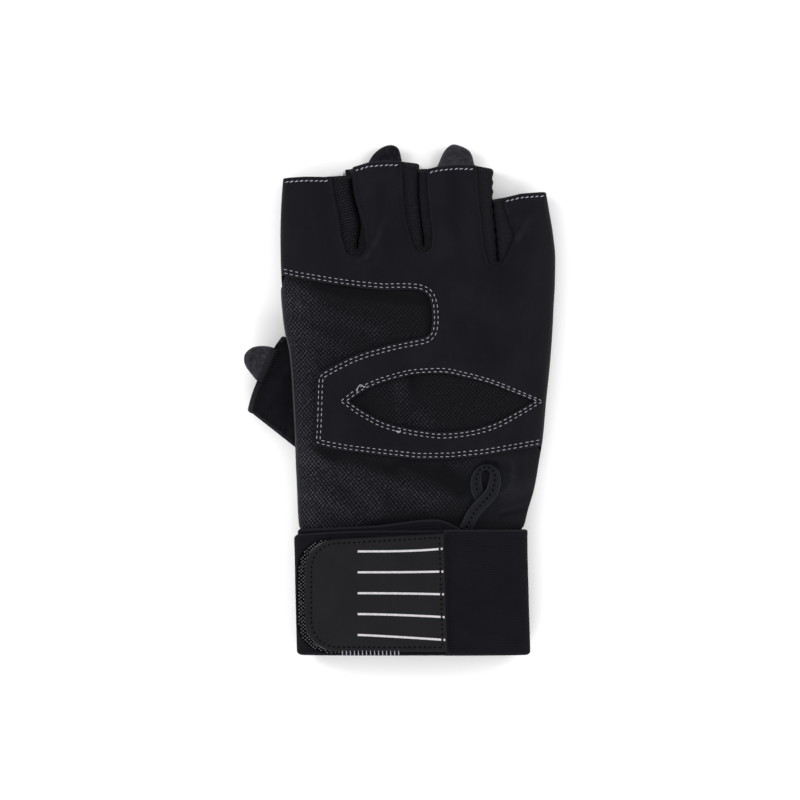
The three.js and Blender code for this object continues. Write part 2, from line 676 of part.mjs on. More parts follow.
// A gusset: the wall that runs down the side of one finger, round the crotch and up the next, from the
// back sheet to the leather.
function gusset(gap) {
  const low = slitLine(gap);
  const high = leatherLine(gap);
  const levels = steps(0, 1, GUSSET_LEVELS - 1);
  const face = (depth) =>
    high.map((upper, i) => {
      const lower = low[i];
      const place = (end) => end.point.clone().addScaledVector(end.into, GUSSET_LAP + depth);
      const from = place(lower);
      const to = place(upper);
      const into = lower.into.clone().add(upper.into).normalize();
      return levels.map((level) => {
        const bulge = -GUSSET_BULGE * Math.sin(Math.PI * level);
        const plan = from.clone().lerp(to, level).addScaledVector(into, bulge);
        const along = plan.y / HAND_LENGTH;
        const bottom = footAt(along) + BACK_WALL + PLY_GAP;
        return new THREE.Vector3(plan.x, plan.y, lerp(bottom, frontHeight(plan.x, along, 0), level));
      });
    });
  return solidOf(slab(face(0), face(GUSSET_WALL))).intersect(cutter(endsOutline()));
}

// The wrap: one strip wound round the cuff, each turn a ply further out. Its upper edge wanders a little.
function wristWrap() {
  const liftAt = curveThrough(WRAP_ROWS, 'lift');
  const least = 0.01;
  const halves = Math.ceil(WRAP_END);
  const whole = steps(0, halves, halves * WRAP_FACETS);
  const kept = whole.filter((turn) => turn > WRAP_START + least && turn < WRAP_END - least);
  const turns = [WRAP_START, ...kept, WRAP_END];
  const face = (depth) =>
    turns.map((turn) => {
      const offset = wrapOffset(turn) + depth;
      const top = WRAP_SHARE * (1 + liftAt(turn));
      return steps(0, top, 2).map((along) => wrapPoint(along, turn, offset));
    });
  return slab(face(WRAP_WALL), face(0));
}

// A point on the loop round the cuff, turn counting half turns as in WRAP_ROWS.
function wrapPoint(along, turn, offset) {
  const half = Math.floor(turn);
  const share = turn - half;
  if (half % 2 === 0) return frontPoint(along, 1 - 2 * share, offset, 0);
  return backPoint(along, 2 * share - 1, offset, 0);
}

// Offsets of what lies on the front of the wrap, above the plies below it.
const HOOK_OFFSET = wrapOffset(HOOK_TURN) + WRAP_WALL + PLY_GAP;
const FLAP_OFFSET = wrapOffset(WRAP_END) + WRAP_WALL + PLY_GAP;
const STRIPE_OFFSET = FLAP_OFFSET + FLAP_WALL + PLY_GAP;

// The flap's sewn edge and lower edge, in plan.
const FLAP_RIGHT = 0.205 * HALF;
const FLAP_LOW = 0.009 * HAND_LENGTH;

// A plan outline with two round corners on the thumb side. rise lifts the upper edge towards the sewn
// end.
function roundEnd(left, right, low, high, corner, rise) {
  const shape = new THREE.Shape();
  shape.moveTo(right, low);
  shape.lineTo(right, high + rise);
  shape.lineTo(left + corner, high);
  shape.absarc(left + corner, high - corner, corner, Math.PI / 2, Math.PI, false);
  shape.absarc(left + corner, low + corner, corner, Math.PI, 1.5 * Math.PI, false);
  return shape.getPoints(5);
}

// A patch on the front of the wrap, cut to a plan outline. It has its facets where the wrap has them.
function wrapPatch(outline, offset, wall) {
  const { min, max } = new THREE.Box2().setFromPoints(outline);
  const alongs = steps(min.y - wall, max.y + wall, 3).map((y) => y / HAND_LENGTH);
  const sides = steps(-1, 1, WRAP_FACETS);
  const xs = sides.map((side) => frontPoint(alongs[1], side, offset).x);
  const first = Math.max(0, xs.findIndex((x) => x > min.x) - 2);
  const last = xs.findIndex((x) => x > max.x) + 2;
  const kept = sides.slice(first, last);
  const face = (depth) =>
    alongs.map((along) => kept.map((side) => frontPoint(along, side, offset + depth, 0)));
  return solidOf(slab(face(wall), face(0))).intersect(cutter(outline));
}

function strapFlap() {
  const outline = roundEnd(
    FLAP_RIGHT - FLAP_LENGTH,
    FLAP_RIGHT,
    FLAP_LOW,
    FLAP_LOW + FLAP_WIDTH,
    FLAP_CORNER,
    FLAP_RISE,
  );
  return wrapPatch(outline, FLAP_OFFSET, FLAP_WALL);
}

function hookPatch() {
  const left = FLAP_RIGHT - FLAP_LENGTH - HOOK_MARGIN;
  const outline = roundEnd(left, left + HOOK_LENGTH, HOOK_LOW, FLAP_LOW + FLAP_WIDTH, FLAP_CORNER, 0);
  return wrapPatch(outline, HOOK_OFFSET, HOOK_WALL);
}

// One of the flap's lines. They fan out towards the sewn end.
function stripe(number) {
  const middle = (STRIPE_COUNT - 1) / 2;
  const right = FLAP_RIGHT - STRIPE_WIDTH / 2;
  const centre = FLAP_LOW + 0.52 * FLAP_WIDTH;
  const face = (depth) =>
    steps(0, 1, 6).map((share) => {
      const x = lerp(right - STRIPE_LENGTH, right, share);
      const y = centre + (middle - number) * (STRIPE_PITCH + STRIPE_FAN * share ** 2);
      return [-STRIPE_WIDTH / 2, STRIPE_WIDTH / 2].map((side) => {
        const along = (y + side) / HAND_LENGTH;
        return new THREE.Vector3(x, y + side, frontHeight(x, along, STRIPE_OFFSET + depth, 0));
      });
    });
  return slab(face(STRIPE_WALL), face(0));
}

// A rounded tongue. root is the middle of the edge that it is sewn to, outward its way out in plan, and
// heightAt gives the height of its underside from the distances out and across.
function tab({ outline, width, reach }, root, outward, heightAt) {
  const acrossWay = new THREE.Vector2(outward.y, -outward.x);
  const half = (width * TAB_WIDTH) / 2;
  const sewn = { out: -TAB_LAP, left: -half, right: half };
  const free = outline.map(({ out, left, right }) => ({
    out: out * reach * TAB_REACH,
    left: left * half,
    right: right * half,
  }));
  const face = (depth) =>
    [sewn, ...free].map(({ out, left, right }) =>
      steps(left, right, 4).map((side) => {
        const plan = root.clone().addScaledVector(outward, out).addScaledVector(acrossWay, side);
        return new THREE.Vector3(plan.x, plan.y, heightAt(out, side) + depth);
      }),
    );
  return slab(face(TAB_WALL), face(0));
}

// A finger's tab lies on the inside of the back sheet and curls up past its end.
function fingerTab(sizes) {
  const base = BACK_WALL + PLY_GAP;
  const heightAt = (out) => base + TAB_CURL * clamp(out / TAB_REACH, 0, 1) ** 2;
  return tab(sizes, planPoint(sizes), new THREE.Vector2(0, 1), heightAt);
}

// The thumb's tab is sewn on the sleeve's top, on the finger side of its open end.
function thumbTab() {
  const shift = THUMB_TAB.shift * TAB_WIDTH;
  const half = THUMB_WIDTH / 2 + TAB_LAP * Math.tan(THREE.MathUtils.degToRad(THUMB_FLARE)) + PLY_GAP;
  const height = THUMB_HEIGHT / 2 + PLY_GAP;
  const heightAt = (out, across) => {
    const share = Math.abs((shift + across) / half);
    const roof = height * Math.max(0, 1 - share ** THUMB_ROUNDING) ** (1 / THUMB_ROUNDING);
    return THUMB_HEIGHT / 2 + roof;
  };
  const root = thumbEnd.clone().addScaledVector(thumbAcross, shift).addScaledVector(thumbOutward, THUMB_BOW);
  return tab(THUMB_TAB, root, thumbOutward, heightAt);
}

// The pull loop: a flat strip that lies on the mesh and crosses over itself.
function pullLoop() {
  const curve = (point) => new THREE.CatmullRomCurve3(LOOP_ROWS.map(point), false, 'catmullrom', 0.5);
  const line = curve((row) => new THREE.Vector3(row.across * HALF, row.along * HAND_LENGTH, row.rise));
  const widths = curve((row, i) => new THREE.Vector3(row.width, i, 0));
  const points = line.getPoints(LOOP_STEPS);
  const halves = widths.getPoints(LOOP_STEPS).map((width) => (width.x * LOOP_WIDTH) / 2);
  const face = (depth) =>
    points.map((point, i) => {
      const run = points[Math.min(i + 1, LOOP_STEPS)].clone().sub(points[Math.max(i - 1, 0)]);
      const sideways = new THREE.Vector2(run.y, -run.x).normalize();
      const rise = PLY_GAP + point.z * (LOOP_WALL + PLY_GAP);
      return [-1, 0, 1].map((side) => {
        const x = point.x + side * sideways.x * halves[i];
        const y = point.y + side * sideways.y * halves[i];
        return new THREE.Vector3(x, y, frontHeight(x, y / HAND_LENGTH, 0) + rise + depth);
      });
    });
  return slab(face(LOOP_WALL), face(0));
}

const finish = (color, roughness) => new THREE.MeshStandardMaterial({ color, roughness, metalness: 0 });
const materials = {
  leather: finish(0x1d1c20, 0.6),
  mesh: finish(0x18171b, 0.85),
  back: finish(0x19181c, 0.9),
  elastic: finish(0x17161a, 0.85),
  hook: finish(0x141316, 0.8),
  flap: finish(0x1e1e20, 0.55),
  suede: finish(0x2a292d, 0.95),
  print: finish(0xd8d2d8, 0.6),
};

const glove = new THREE.Group();
function add(name, form, material) {
  const geometry = geometryOf(form.isBufferGeometry ? solidOf(form) : form);
  const mesh = new THREE.Mesh(geometry, material);
  mesh.name = name;
  glove.add(mesh);
}

const meshRows = bodyRows.filter((along) => along <= MESH_TOP);
add('palm_mesh', sheet(frontPoint, meshRows, 0, -MESH_WALL), materials.mesh);
add('palm_leather', palmLeather(), materials.leather);
add('back_panel', backPanel(), materials.back);
for (const gap of gaps) add(gap.name, gusset(gap), materials.mesh);
add('thumb_sleeve', thumbSleeve(), materials.back);
add('middle_tab', fingerTab(MIDDLE_TAB), materials.suede);
add('ring_tab', fingerTab(RING_TAB), materials.suede);
add('thumb_tab', thumbTab(), materials.suede);
add('wrist_wrap', wristWrap(), materials.elastic);
add('hook_patch', hookPatch(), materials.hook);
add('strap_flap', strapFlap(), materials.flap);
for (let number = 0; number < STRIPE_COUNT; number++) {
  add(`stripe_${number + 1}`, stripe(number), materials.print);
}
add('pull_loop', pullLoop(), materials.flap);

// The origin is the middle of the glove's box in plan, on the floor.
const middle = new THREE.Box3().setFromObject(glove).getCenter(new THREE.Vector3());
glove.position.set(-middle.x, -middle.y, 0);

export default glove;
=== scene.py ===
"""Looks of the weightlifting glove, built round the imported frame.

The glove's surfaces are worked out in millimetres from the same sizes as the frame, in plan: x runs
across from the palm's middle line, y runs along from the lower edge of the wrap, and z is up from the
floor. make_object() turns them into metres in the frame's own axes. The finished outlines follow the
photograph to within 2 mm of the solids, so a few sizes and table rows differ a little from the frame's.
"""

import math

import bmesh
import bpy
import numpy as np
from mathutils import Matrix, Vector, geometry


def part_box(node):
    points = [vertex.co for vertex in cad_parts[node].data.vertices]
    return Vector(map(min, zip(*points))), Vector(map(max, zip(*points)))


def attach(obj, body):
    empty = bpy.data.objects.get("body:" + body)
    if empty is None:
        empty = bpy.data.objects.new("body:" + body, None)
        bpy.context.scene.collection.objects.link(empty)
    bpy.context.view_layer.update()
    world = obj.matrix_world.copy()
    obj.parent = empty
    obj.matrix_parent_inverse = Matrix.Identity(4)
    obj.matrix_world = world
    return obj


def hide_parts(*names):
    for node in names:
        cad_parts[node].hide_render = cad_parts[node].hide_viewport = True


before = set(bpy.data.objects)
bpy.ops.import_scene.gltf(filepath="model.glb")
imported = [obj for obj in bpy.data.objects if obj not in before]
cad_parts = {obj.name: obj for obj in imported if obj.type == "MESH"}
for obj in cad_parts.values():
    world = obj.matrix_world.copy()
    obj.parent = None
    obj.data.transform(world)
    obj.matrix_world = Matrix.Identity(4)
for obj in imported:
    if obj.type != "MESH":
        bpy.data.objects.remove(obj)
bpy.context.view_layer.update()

# Overall sizes
PALM_WIDTH = 109.4
HAND_LENGTH = 197
PALM_HEIGHT = 24
WRAP_WIDTH = 0.2538 * HAND_LENGTH
CUFF_EDGE = 0.012  # where the cuff starts, as a share of HAND_LENGTH
HALF = PALM_WIDTH / 2

# Walls and clearances
MESH_WALL = 1.2
LEATHER_WALL = 1.2
BACK_WALL = 1.4
GUSSET_WALL = 1.2
WRAP_WALL = 1.2
HOOK_WALL = 0.8
FLAP_WALL = 1.2
SLEEVE_WALL = 1.2
TAB_WALL = 1.2
LOOP_WALL = 1.1
STRIPE_WALL = 0.3
PLY_GAP = 0.3
LEATHER_STEP = PLY_GAP + LEATHER_WALL
WRAP_PITCH = WRAP_WALL + PLY_GAP
EDGE_ROUND = 0.5  # radius of a sheet's edge

# Sections and gaps
FRONT_ROUNDING = 2.7
BACK_ROUND = 9
SLIT_WIDTH = 1
GUSSET_LAP = 0.4
GUSSET_DEPTH = 15.0  # length of a side wall's cloth from the leather to the back
GUSSET_CROWN = 6.0  # how far a side wall bulges: 1 is a straight slope
VALLEY_DEPTH = 2.4
VALLEY_REACH = 6

# Thumb
THUMB_WIDTH = 32.4
THUMB_HEIGHT = 12
THUMB_LENGTH = 40
THUMB_ROUNDING = 2.5
THUMB_FLARE = math.radians(13.3)
THUMB_TURN = math.radians(24.9)
THUMB_BOW = 1.6
THUMB_ROOT = 12
THUMB_END = (-1.123 * HALF, 0.5702 * HAND_LENGTH)
THUMB_SAG = 1.1  # how far the sleeve's top sinks at its middle
THUMB_PUCKER = math.radians(148)  # where the sleeve is puckered along its seam

# Pull tabs
TAB_WIDTH = 14
TAB_REACH = 8
TAB_LAP = 5
TAB_CURL = 2.2
THUMB_LAP = 2.0  # how far the thumb's tab reaches on to the sleeve
THUMB_TAB_SHIFT = 0.24 * TAB_WIDTH

# Flap, hook patch and stripes
FLAP_LENGTH = 56.4
FLAP_WIDTH = 0.892 * WRAP_WIDTH
FLAP_CORNER = 0.24 * WRAP_WIDTH
FLAP_RISE = 0.048 * WRAP_WIDTH
FLAP_SLANT = 1.3  # how far the sewn side leans towards the thumb at its top
FLAP_TRIM = 0.8  # how far the round end's finished edge stays inside its solid
FLAP_RIGHT = 0.205 * HALF
FLAP_LEFT = FLAP_RIGHT - FLAP_LENGTH
FLAP_LOW = 0.009 * HAND_LENGTH
FLAP_HIGH = FLAP_LOW + FLAP_WIDTH
HOOK_LENGTH = 0.585 * FLAP_LENGTH
HOOK_MARGIN = 0.06 * FLAP_LENGTH
HOOK_LOW = 0.02 * WRAP_WIDTH
HOOK_TRIM = 0.7
HOOK_COLUMNS = 0.8  # between neighbouring columns of hooks
HOOK_ROWS = 0.7
STRIPE_COUNT = 5
STRIPE_WIDTH = 0.02 * WRAP_WIDTH
STRIPE_LENGTH = 0.62 * FLAP_LENGTH
STRIPE_PITCH = 0.166 * WRAP_WIDTH
STRIPE_FAN = 0.0152 * WRAP_WIDTH
STRIPE_DROP = 0.45  # how far all the lines sink towards the flap's sewn side
STRIPE_DIP = 0.9  # depth at which the flap's sewing swallows them

# In every table along is a share of the length, and sideways values are shares of half the palm's width.
# The silhouette's columns are along, left, right, crown and seam.
BODY_ROWS = [
    (0.0, -0.825, 0.74, 0.735, 0.5),
    (0.12, -0.836, 0.727, 0.735, 0.5),
    (0.245, -0.846, 0.717, 0.735, 0.5),
    (0.252, -0.851, 0.73, 0.742, 0.5),
    (0.256, -0.855, 0.757, 0.748, 0.5),
    (0.262, -0.862, 0.77, 0.755, 0.5),
    (0.291, -0.87, 0.797, 0.8, 0.5),
    (0.34, -0.877, 0.848, 0.865, 0.53),
    (0.389, -0.885, 0.878, 0.905, 0.58),
    (0.438, -0.89, 0.907, 0.93, 0.62),
    (0.511, -0.903, 0.931, 0.94, 0.63),
    (0.584, -0.92, 0.958, 0.94, 0.62),
    (0.617, -0.934, 0.968, 0.938, 0.61),
    (0.657, -0.966, 0.978, 0.935, 0.6),
    (0.706, -0.987, 0.987, 0.92, 0.55),
    (0.754, -1.0, 0.996, 0.895, 0.5),
    (0.803, -1.008, 0.999, 0.86, 0.5),
    (0.852, -1.01, 0.983, 0.81, 0.5),
    (0.9, -1.006, 0.955, 0.76, 0.5),
    (0.966, -0.991, 0.914, 0.7, 0.5),
    (1.03, -0.972, 0.875, 0.67, 0.5),
]

# The open ends of the fingers: across, along.
END_ROWS = [
    (-1.3, 0.965), (-0.987, 0.9663), (-0.826, 0.9687), (-0.68, 0.968), (-0.549, 0.972),
    (-0.547, 0.984), (-0.475, 0.988), (-0.369, 0.997), (-0.241, 1.0), (-0.117, 1.0),
    (-0.022, 0.999), (0.004, 0.993), (0.006, 0.9843), (0.066, 0.984), (0.139, 0.989),
    (0.271, 0.9925), (0.417, 0.992), (0.502, 0.989), (0.54, 0.984), (0.542, 0.923),
    (0.622, 0.926), (0.741, 0.934), (0.9, 0.938), (1.3, 0.938),
]

# The gaps between the fingers: the crotch, and rows of along, left, right and fold.
GAPS = [
    ("gusset_index_middle", 0.809, [
        (0.825, -0.54, -0.386, -0.443),
        (0.85, -0.563, -0.388, -0.452),
        (0.89, -0.583, -0.422, -0.48),
        (0.94, -0.621, -0.467, -0.524),
        (1.01, -0.65, -0.484, -0.55),
    ]),
    ("gusset_middle_ring", 0.8146, [
        (0.83, -0.04, 0.094, 0.037),
        (0.85, -0.064, 0.098, 0.034),
        (0.89, -0.094, 0.083, 0.021),
        (0.94, -0.114, 0.066, 0.007),
        (1.01, -0.124, 0.058, 0.005),
    ]),
    ("gusset_ring_little", 0.7864, [
        (0.8, 0.498, 0.62, 0.578),
        (0.825, 0.472, 0.655, 0.571),
        (0.85, 0.462, 0.69, 0.563),
        (0.885, 0.45, 0.648, 0.551),
        (0.93, 0.432, 0.613, 0.54),
        (1.01, 0.413, 0.6, 0.541),
    ]),
]

# The leather's lower edge: across, along.
LEATHER_EDGE = [
    (-1.3, 0.784), (-0.987, 0.769), (-0.9, 0.7628), (-0.76, 0.7562), (-0.6, 0.7485),
    (-0.431, 0.7425), (-0.263, 0.738), (-0.095, 0.739), (0.007, 0.737), (0.066, 0.729),
    (0.091, 0.71), (0.099, 0.677), (0.088, 0.653), (0.051, 0.6434), (-0.044, 0.6386),
    (-0.161, 0.632), (-0.271, 0.6244), (-0.391, 0.615), (-0.512, 0.602), (-0.633, 0.5846),
    (-0.724, 0.5706), (-0.741, 0.562), (-0.746, 0.529), (-0.752, 0.47), (-0.763, 0.426),
    (-0.644, 0.4183), (-0.534, 0.413), (-0.292, 0.4047), (0.0, 0.396), (0.234, 0.397),
    (0.483, 0.404), (0.695, 0.414), (0.907, 0.4244), (1.3, 0.44),
]

# The eye-shaped window: its size and middle, and rows of at, upper and lower.
EYE_LENGTH = 73.2
EYE_HEIGHT = 23.2
EYE_MIDDLE = (0.168 * HALF, 0.514 * HAND_LENGTH)
EYE_ROWS = [
    (-1, 0, 0), (-0.81, 0.2, 0.2), (-0.55, 0.355, 0.39), (-0.25, 0.455, 0.49), (0, 0.47, 0.53),
    (0.24, 0.405, 0.5), (0.5, 0.3, 0.405), (0.79, 0.13, 0.19), (1, 0, 0),
]

# Soft folds: from across and along, to across and along, height and reach as shares of PALM_HEIGHT.
FOLDS = [
    (-0.92, 0.71, -0.3, 0.655, 0.035, 0.14),
    (-0.9, 0.655, -0.55, 0.62, 0.03, 0.13),
    (-0.82, 0.4, -0.3, 0.3, 0.05, 0.16),
    (-0.5, 0.385, 0.1, 0.31, 0.045, 0.16),
    (-0.8, 0.33, -0.5, 0.285, 0.035, 0.12),
    (0.62, 0.33, 0.84, 0.345, 0.035, 0.14),
    (-0.13, 0.545, 0.05, 0.465, 0.045, 0.16),
    (-0.3, 0.8, -0.4, 0.79, 0.025, 0.2),
    (0.68, 0.86, 0.8, 0.885, 0.04, 0.17),
]

# Finer creases of the leather and the mesh, which only show in the looks. Same columns, and a height
# below 0 is a furrow.
CREASES = [
    (-0.74, 0.399, -0.3, 0.3235, 0.026, 0.085),
    (-0.72, 0.372, -0.53, 0.329, -0.028, 0.08),
    (-0.82, 0.323, -0.3, 0.276, 0.022, 0.08),
    (-0.12, 0.378, 0.245, 0.3166, 0.022, 0.07),
    (0.184, 0.382, 0.307, 0.331, -0.026, 0.09),
    (-0.37, 0.262, 0.06, 0.282, -0.02, 0.07),
    (-0.764, 0.422, -0.62, 0.398, -0.026, 0.07),
    (0.603, 0.282, 0.8, 0.2963, -0.026, 0.045),
    (0.603, 0.292, 0.8, 0.306, 0.018, 0.045),
    (-0.86, 0.6, -0.62, 0.545, 0.012, 0.05),
    (-0.86, 0.57, -0.7, 0.525, -0.012, 0.05),
    (-0.165, 0.565, -0.15, 0.47, 0.018, 0.05),
    (-0.06, 0.565, -0.04, 0.5, -0.022, 0.06),
    (-0.5, 0.802, -0.43, 0.797, 0.012, 0.06),
    (-0.43, 0.797, -0.37, 0.806, 0.016, 0.07),
    (-0.37, 0.806, -0.315, 0.832, 0.018, 0.08),
    (-0.315, 0.832, -0.285, 0.85, 0.014, 0.08),
    (-0.285, 0.85, -0.24, 0.879, 0.012, 0.06),
    (0.67, 0.812, 0.7, 0.842, 0.012, 0.08),
    (0.7, 0.842, 0.74, 0.862, 0.018, 0.08),
    (0.74, 0.862, 0.78, 0.885, 0.016, 0.1),
    (0.655, 0.885, 0.7, 0.9, 0.014, 0.045),
    (0.435, 0.381, 0.491, 0.388, -0.02, 0.05),
    (0.491, 0.388, 0.557, 0.386, -0.022, 0.05),
    (0.557, 0.386, 0.647, 0.377, -0.018, 0.05),
    (0.684, 0.392, 0.688, 0.361, 0.02, 0.045),
    (0.688, 0.361, 0.655, 0.34, 0.02, 0.045),
    (0.655, 0.34, 0.6, 0.326, 0.016, 0.045),
    (0.74, 0.385, 0.76, 0.34, -0.012, 0.05),
    (0.66, 0.318, 0.78, 0.33, 0.012, 0.04),
]

# Painted shade on the mesh, in the same columns: its shadow below the leather's edge and shade in the
# troughs between folds, with a painted highlight where the height is above 0.
SHADES = [
    (-0.93, 0.757, -0.515, 0.733, -0.006, 0.085),
    (-0.515, 0.733, 0.055, 0.715, -0.006, 0.085),
    (0.075, 0.7, 0.09, 0.655, -0.0045, 0.08),
    (-0.9, 0.742, -0.75, 0.72, 0.004, 0.07),
    (-0.7, 0.412, -0.2, 0.372, -0.007, 0.13),
    (-0.1, 0.385, 0.3, 0.345, -0.006, 0.2),
    (-0.3, 0.262, 0.3, 0.275, -0.006, 0.13),
    (-0.5, 0.55, -0.38, 0.5, -0.003, 0.2),
    (-0.04, 0.56, -0.02, 0.5, -0.003, 0.16),
]

# The side walls between the fingers: lean of the line where their legs meet, waves, closing of holes.
GUSSET_WAYS = [(2.5, 0.12, 0.1), (-0.4, 0.1, 0.4), (0.0, 0.6, 0.75)]

# The wrap, counted in half turns: rows of half turn and lift of the upper edge.
WRAP_START = 0.35
WRAP_END = 4.41
HOOK_TURN = 3
BACK_TURN = 4
HALF_TURN = 85.0  # length of the elastic in half a turn
WRAP_CORNER = 1.5  # how far its edges draw in at the cuff's sides
WRAP_ROWS = [
    (0.35, 0.0), (0.44, 0.085), (0.62, 0.032), (0.95, 0.006), (2.0, 0.0), (2.6, -0.004),
    (3.0, -0.04), (3.5, -0.015), (4.0, 0.0), (4.41, 0.004),
]

# The tabs: width and reach as shares of TAB_WIDTH and TAB_REACH, and rows of out, left and right.
MIDDLE_TAB = (0.99, 0.94, [
    (0, -1, 1), (0.22, -0.87, 0.97), (0.45, -0.72, 0.92), (0.7, -0.44, 0.85), (0.88, -0.16, 0.76),
    (1, 0.2, 0.5),
])
RING_TAB = (1.1, 1.18, [
    (0, -1, 1), (0.2, -0.89, 0.95), (0.44, -0.77, 0.89), (0.7, -0.62, 0.76), (0.86, -0.44, 0.46),
    (1, -0.24, -0.02),
])
THUMB_TAB = (1.06, 1.11, [
    (0, -1, 1), (0.2, -0.885, 0.95), (0.45, -0.735, 0.84), (0.7, -0.58, 0.67), (0.88, -0.38, 0.47),
    (1, -0.1, 0.14),
])
MIDDLE_TAB_ROOT = (-0.247, 0.997)
RING_TAB_ROOT = (0.273, 0.9887)

# The pull loop's line, from its foot behind the wrap's edge: across, along, rise and width.
LOOP_WIDTH = 5.2
LOOP_ROWS = [
    (0.338, 0.2535, 0.0, 1), (0.352, 0.261, 0.1, 1), (0.398, 0.287, 0.75, 1), (0.445, 0.303, 1.2, 1),
    (0.495, 0.3174, 1.35, 1), (0.532, 0.3314, 1.25, 1), (0.553, 0.351, 0.9, 0.95),
    (0.55, 0.369, 0.6, 0.72), (0.507, 0.3803, 0.35, 0.42), (0.45, 0.377, 0.15, 0.5),
    (0.42, 0.36, 0, 0.78), (0.422, 0.3385, 0, 0.95), (0.445, 0.322, 0, 0.95), (0.467, 0.312, 0, 0.85),
]

# The tacks that hold the loop: lines of across and along.
TACKS = [
    [(0.516, 0.388), (0.581, 0.3695), (0.603, 0.343), (0.574, 0.3166)],
    [(0.662, 0.392), (0.698, 0.3675), (0.676, 0.337)],
    [(0.216, 0.3878), (0.236, 0.3797), (0.256, 0.3878), (0.276, 0.3797), (0.296, 0.3878),
     (0.316, 0.3797), (0.336, 0.3878), (0.356, 0.3797), (0.376, 0.3878)],
]

# The thread's loose end and its knot beside the eye: across, along and height above the leather.
CURL = [
    (-0.448, 0.5322, -0.1), (-0.444, 0.5398, 0.35), (-0.428, 0.546, 0.5), (-0.41, 0.5455, 0.4),
    (-0.398, 0.542, 0.25), (-0.385, 0.545, -0.1),
]
KNOT = (-0.145, 0.4525)

# Where the piping on the thumb side's seam starts and ends.
PIPING = (0.25, 0.745)

# Sewing, in millimetres
SEAM_INSET = 1.0  # from the leather's edge to the first line of its double seam
SEAM_SPLIT = 1.4  # between the two lines
SEAM_PITCH = 2.25
SEAM_STITCH = 1.42
SEAM_MARGIN = 0.7  # left free at the glove's sides
EYE_SEAMS = [(1.5, 1.7), (3.6, 4.4)]  # how far the two lines stand beyond the eye's ends and sides
HEM_INSET = 1.7
HEM_PITCH = 1.95
HEM_STITCH = 1.5
HEM_THREAD = 0.22
HEM_START = 0.6  # left free at a hem's two ends
HEM_STOP = 0.8
FLAP_SEAM = 1.7  # from the flap's edge to its line of sewing
THREAD = 0.16  # half the thread's width
STITCH_DIP = 0.1  # depth of a stitch's ends in the sheet
STITCH_RISE = 0.24  # how far its middle stands above them
SEWN_DEPTH = 0.12  # of the furrow along a line of sewing
UP = np.array([0.0, 0.0, 1.0])

# Painted highlight on the leather's creases: the cloth's third coordinate goes from one to the other on
# a crease's ridge, which is painted pale as if it caught the light.
CREASE_LIGHT_FROM = 8.0
CREASE_LIGHT_AT = 14.0
CREASE_LIGHT_HEIGHT = 0.7  # height of a crease that gets the full painted highlight


def curve_through(at, value):
    """The smooth curve through a table's column, which never overshoots."""
    at = np.array(at, float)
    value = np.array(value, float)
    rise = np.diff(value) / np.diff(at)
    slope = np.empty(len(at))
    slope[0] = rise[0]
    slope[-1] = rise[-1]
    for i in range(1, len(at) - 1):
        product = rise[i - 1] * rise[i]
        slope[i] = 0 if product <= 0 else 2 * product / (rise[i - 1] + rise[i])

    def read(along):
        x = np.clip(along, at[0], at[-1])
        i = np.clip(np.searchsorted(at, x) - 1, 0, len(at) - 2)
        span = at[i + 1] - at[i]
        t = (x - at[i]) / span
        blend = t * t * (3 - 2 * t)
        bend = span * t * (1 - t) * ((1 - t) * slope[i] - t * slope[i + 1])
        return value[i] + (value[i + 1] - value[i]) * blend + bend

    return read


def curves(rows):
    columns = list(zip(*rows))
    return [curve_through(columns[0], column) for column in columns[1:]]


def smoothstep(x, low, high):
    t = np.clip((x - low) / (high - low), 0, 1)
    return t * t * (3 - 2 * t)


def bell(x, middle, reach):
    """1 at the middle, falling to 0 on both sides over about the reach."""
    return np.exp(-(((x - middle) / reach) ** 2))


def polar(angle):
    return np.stack([np.cos(angle), np.sin(angle)], -1)


def plan_of(rows):
    """Rows of across and along, and what follows them, in millimetres in plan."""
    rows = np.array(rows, float)
    rows[:, 0] *= HALF
    rows[:, 1] *= HAND_LENGTH
    return rows


body_left, body_right, body_crown, body_seam = curves(BODY_ROWS)
gap_curves = [(name, crotch, rows, *curves(rows)) for name, crotch, rows in GAPS]
wrap_lift = curves(WRAP_ROWS)[0]
WRAP_SHARE = WRAP_WIDTH / HAND_LENGTH
CUFF_RAMP = 0.07


def wrap_offset(turn):
    """How far the wrap's inner face stands off the cuff at a half turn."""
    return PLY_GAP + WRAP_PITCH * (turn - WRAP_START) / 2


CUFF_FOOT = wrap_offset(BACK_TURN) + WRAP_WALL


def foot_at(along):
    """Height of the glove's underside, which the wrap holds off the floor at the cuff."""
    return CUFF_FOOT * (1 - smoothstep(along, WRAP_SHARE, WRAP_SHARE + CUFF_RAMP))


def seam_at(along, side):
    """Height of the seam between front and back. side is below 0 on the thumb's side."""
    share = np.where(side < 0, body_seam(along), 0.5)
    foot = foot_at(along)
    return foot + (body_crown(along) * PALM_HEIGHT - foot) * share


def leather_cover(along, side):
    """0 below the leather's edge at one side of the glove, and 1 above it."""
    edge = LEATHER_EDGE[1][1] if side < 0 else LEATHER_EDGE[-2][1]
    return smoothstep(along, edge - 0.02, edge)


def ridge(x, along, rows):
    """Height that a list of straight folds adds at a point, in millimetres."""
    total = 0
    for from_across, from_along, to_across, to_along, height, reach in rows:
        x0, y0 = from_across * HALF, from_along * HAND_LENGTH
        dx, dy = to_across * HALF - x0, to_along * HAND_LENGTH - y0
        px, py = x - x0, along * HAND_LENGTH - y0
        share = np.clip((px * dx + py * dy) / (dx * dx + dy * dy), 0, 1)
        away = np.hypot(px - share * dx, py - share * dy) / (reach * PALM_HEIGHT)
        total = total + height * PALM_HEIGHT * np.exp(-away * away)
    return total


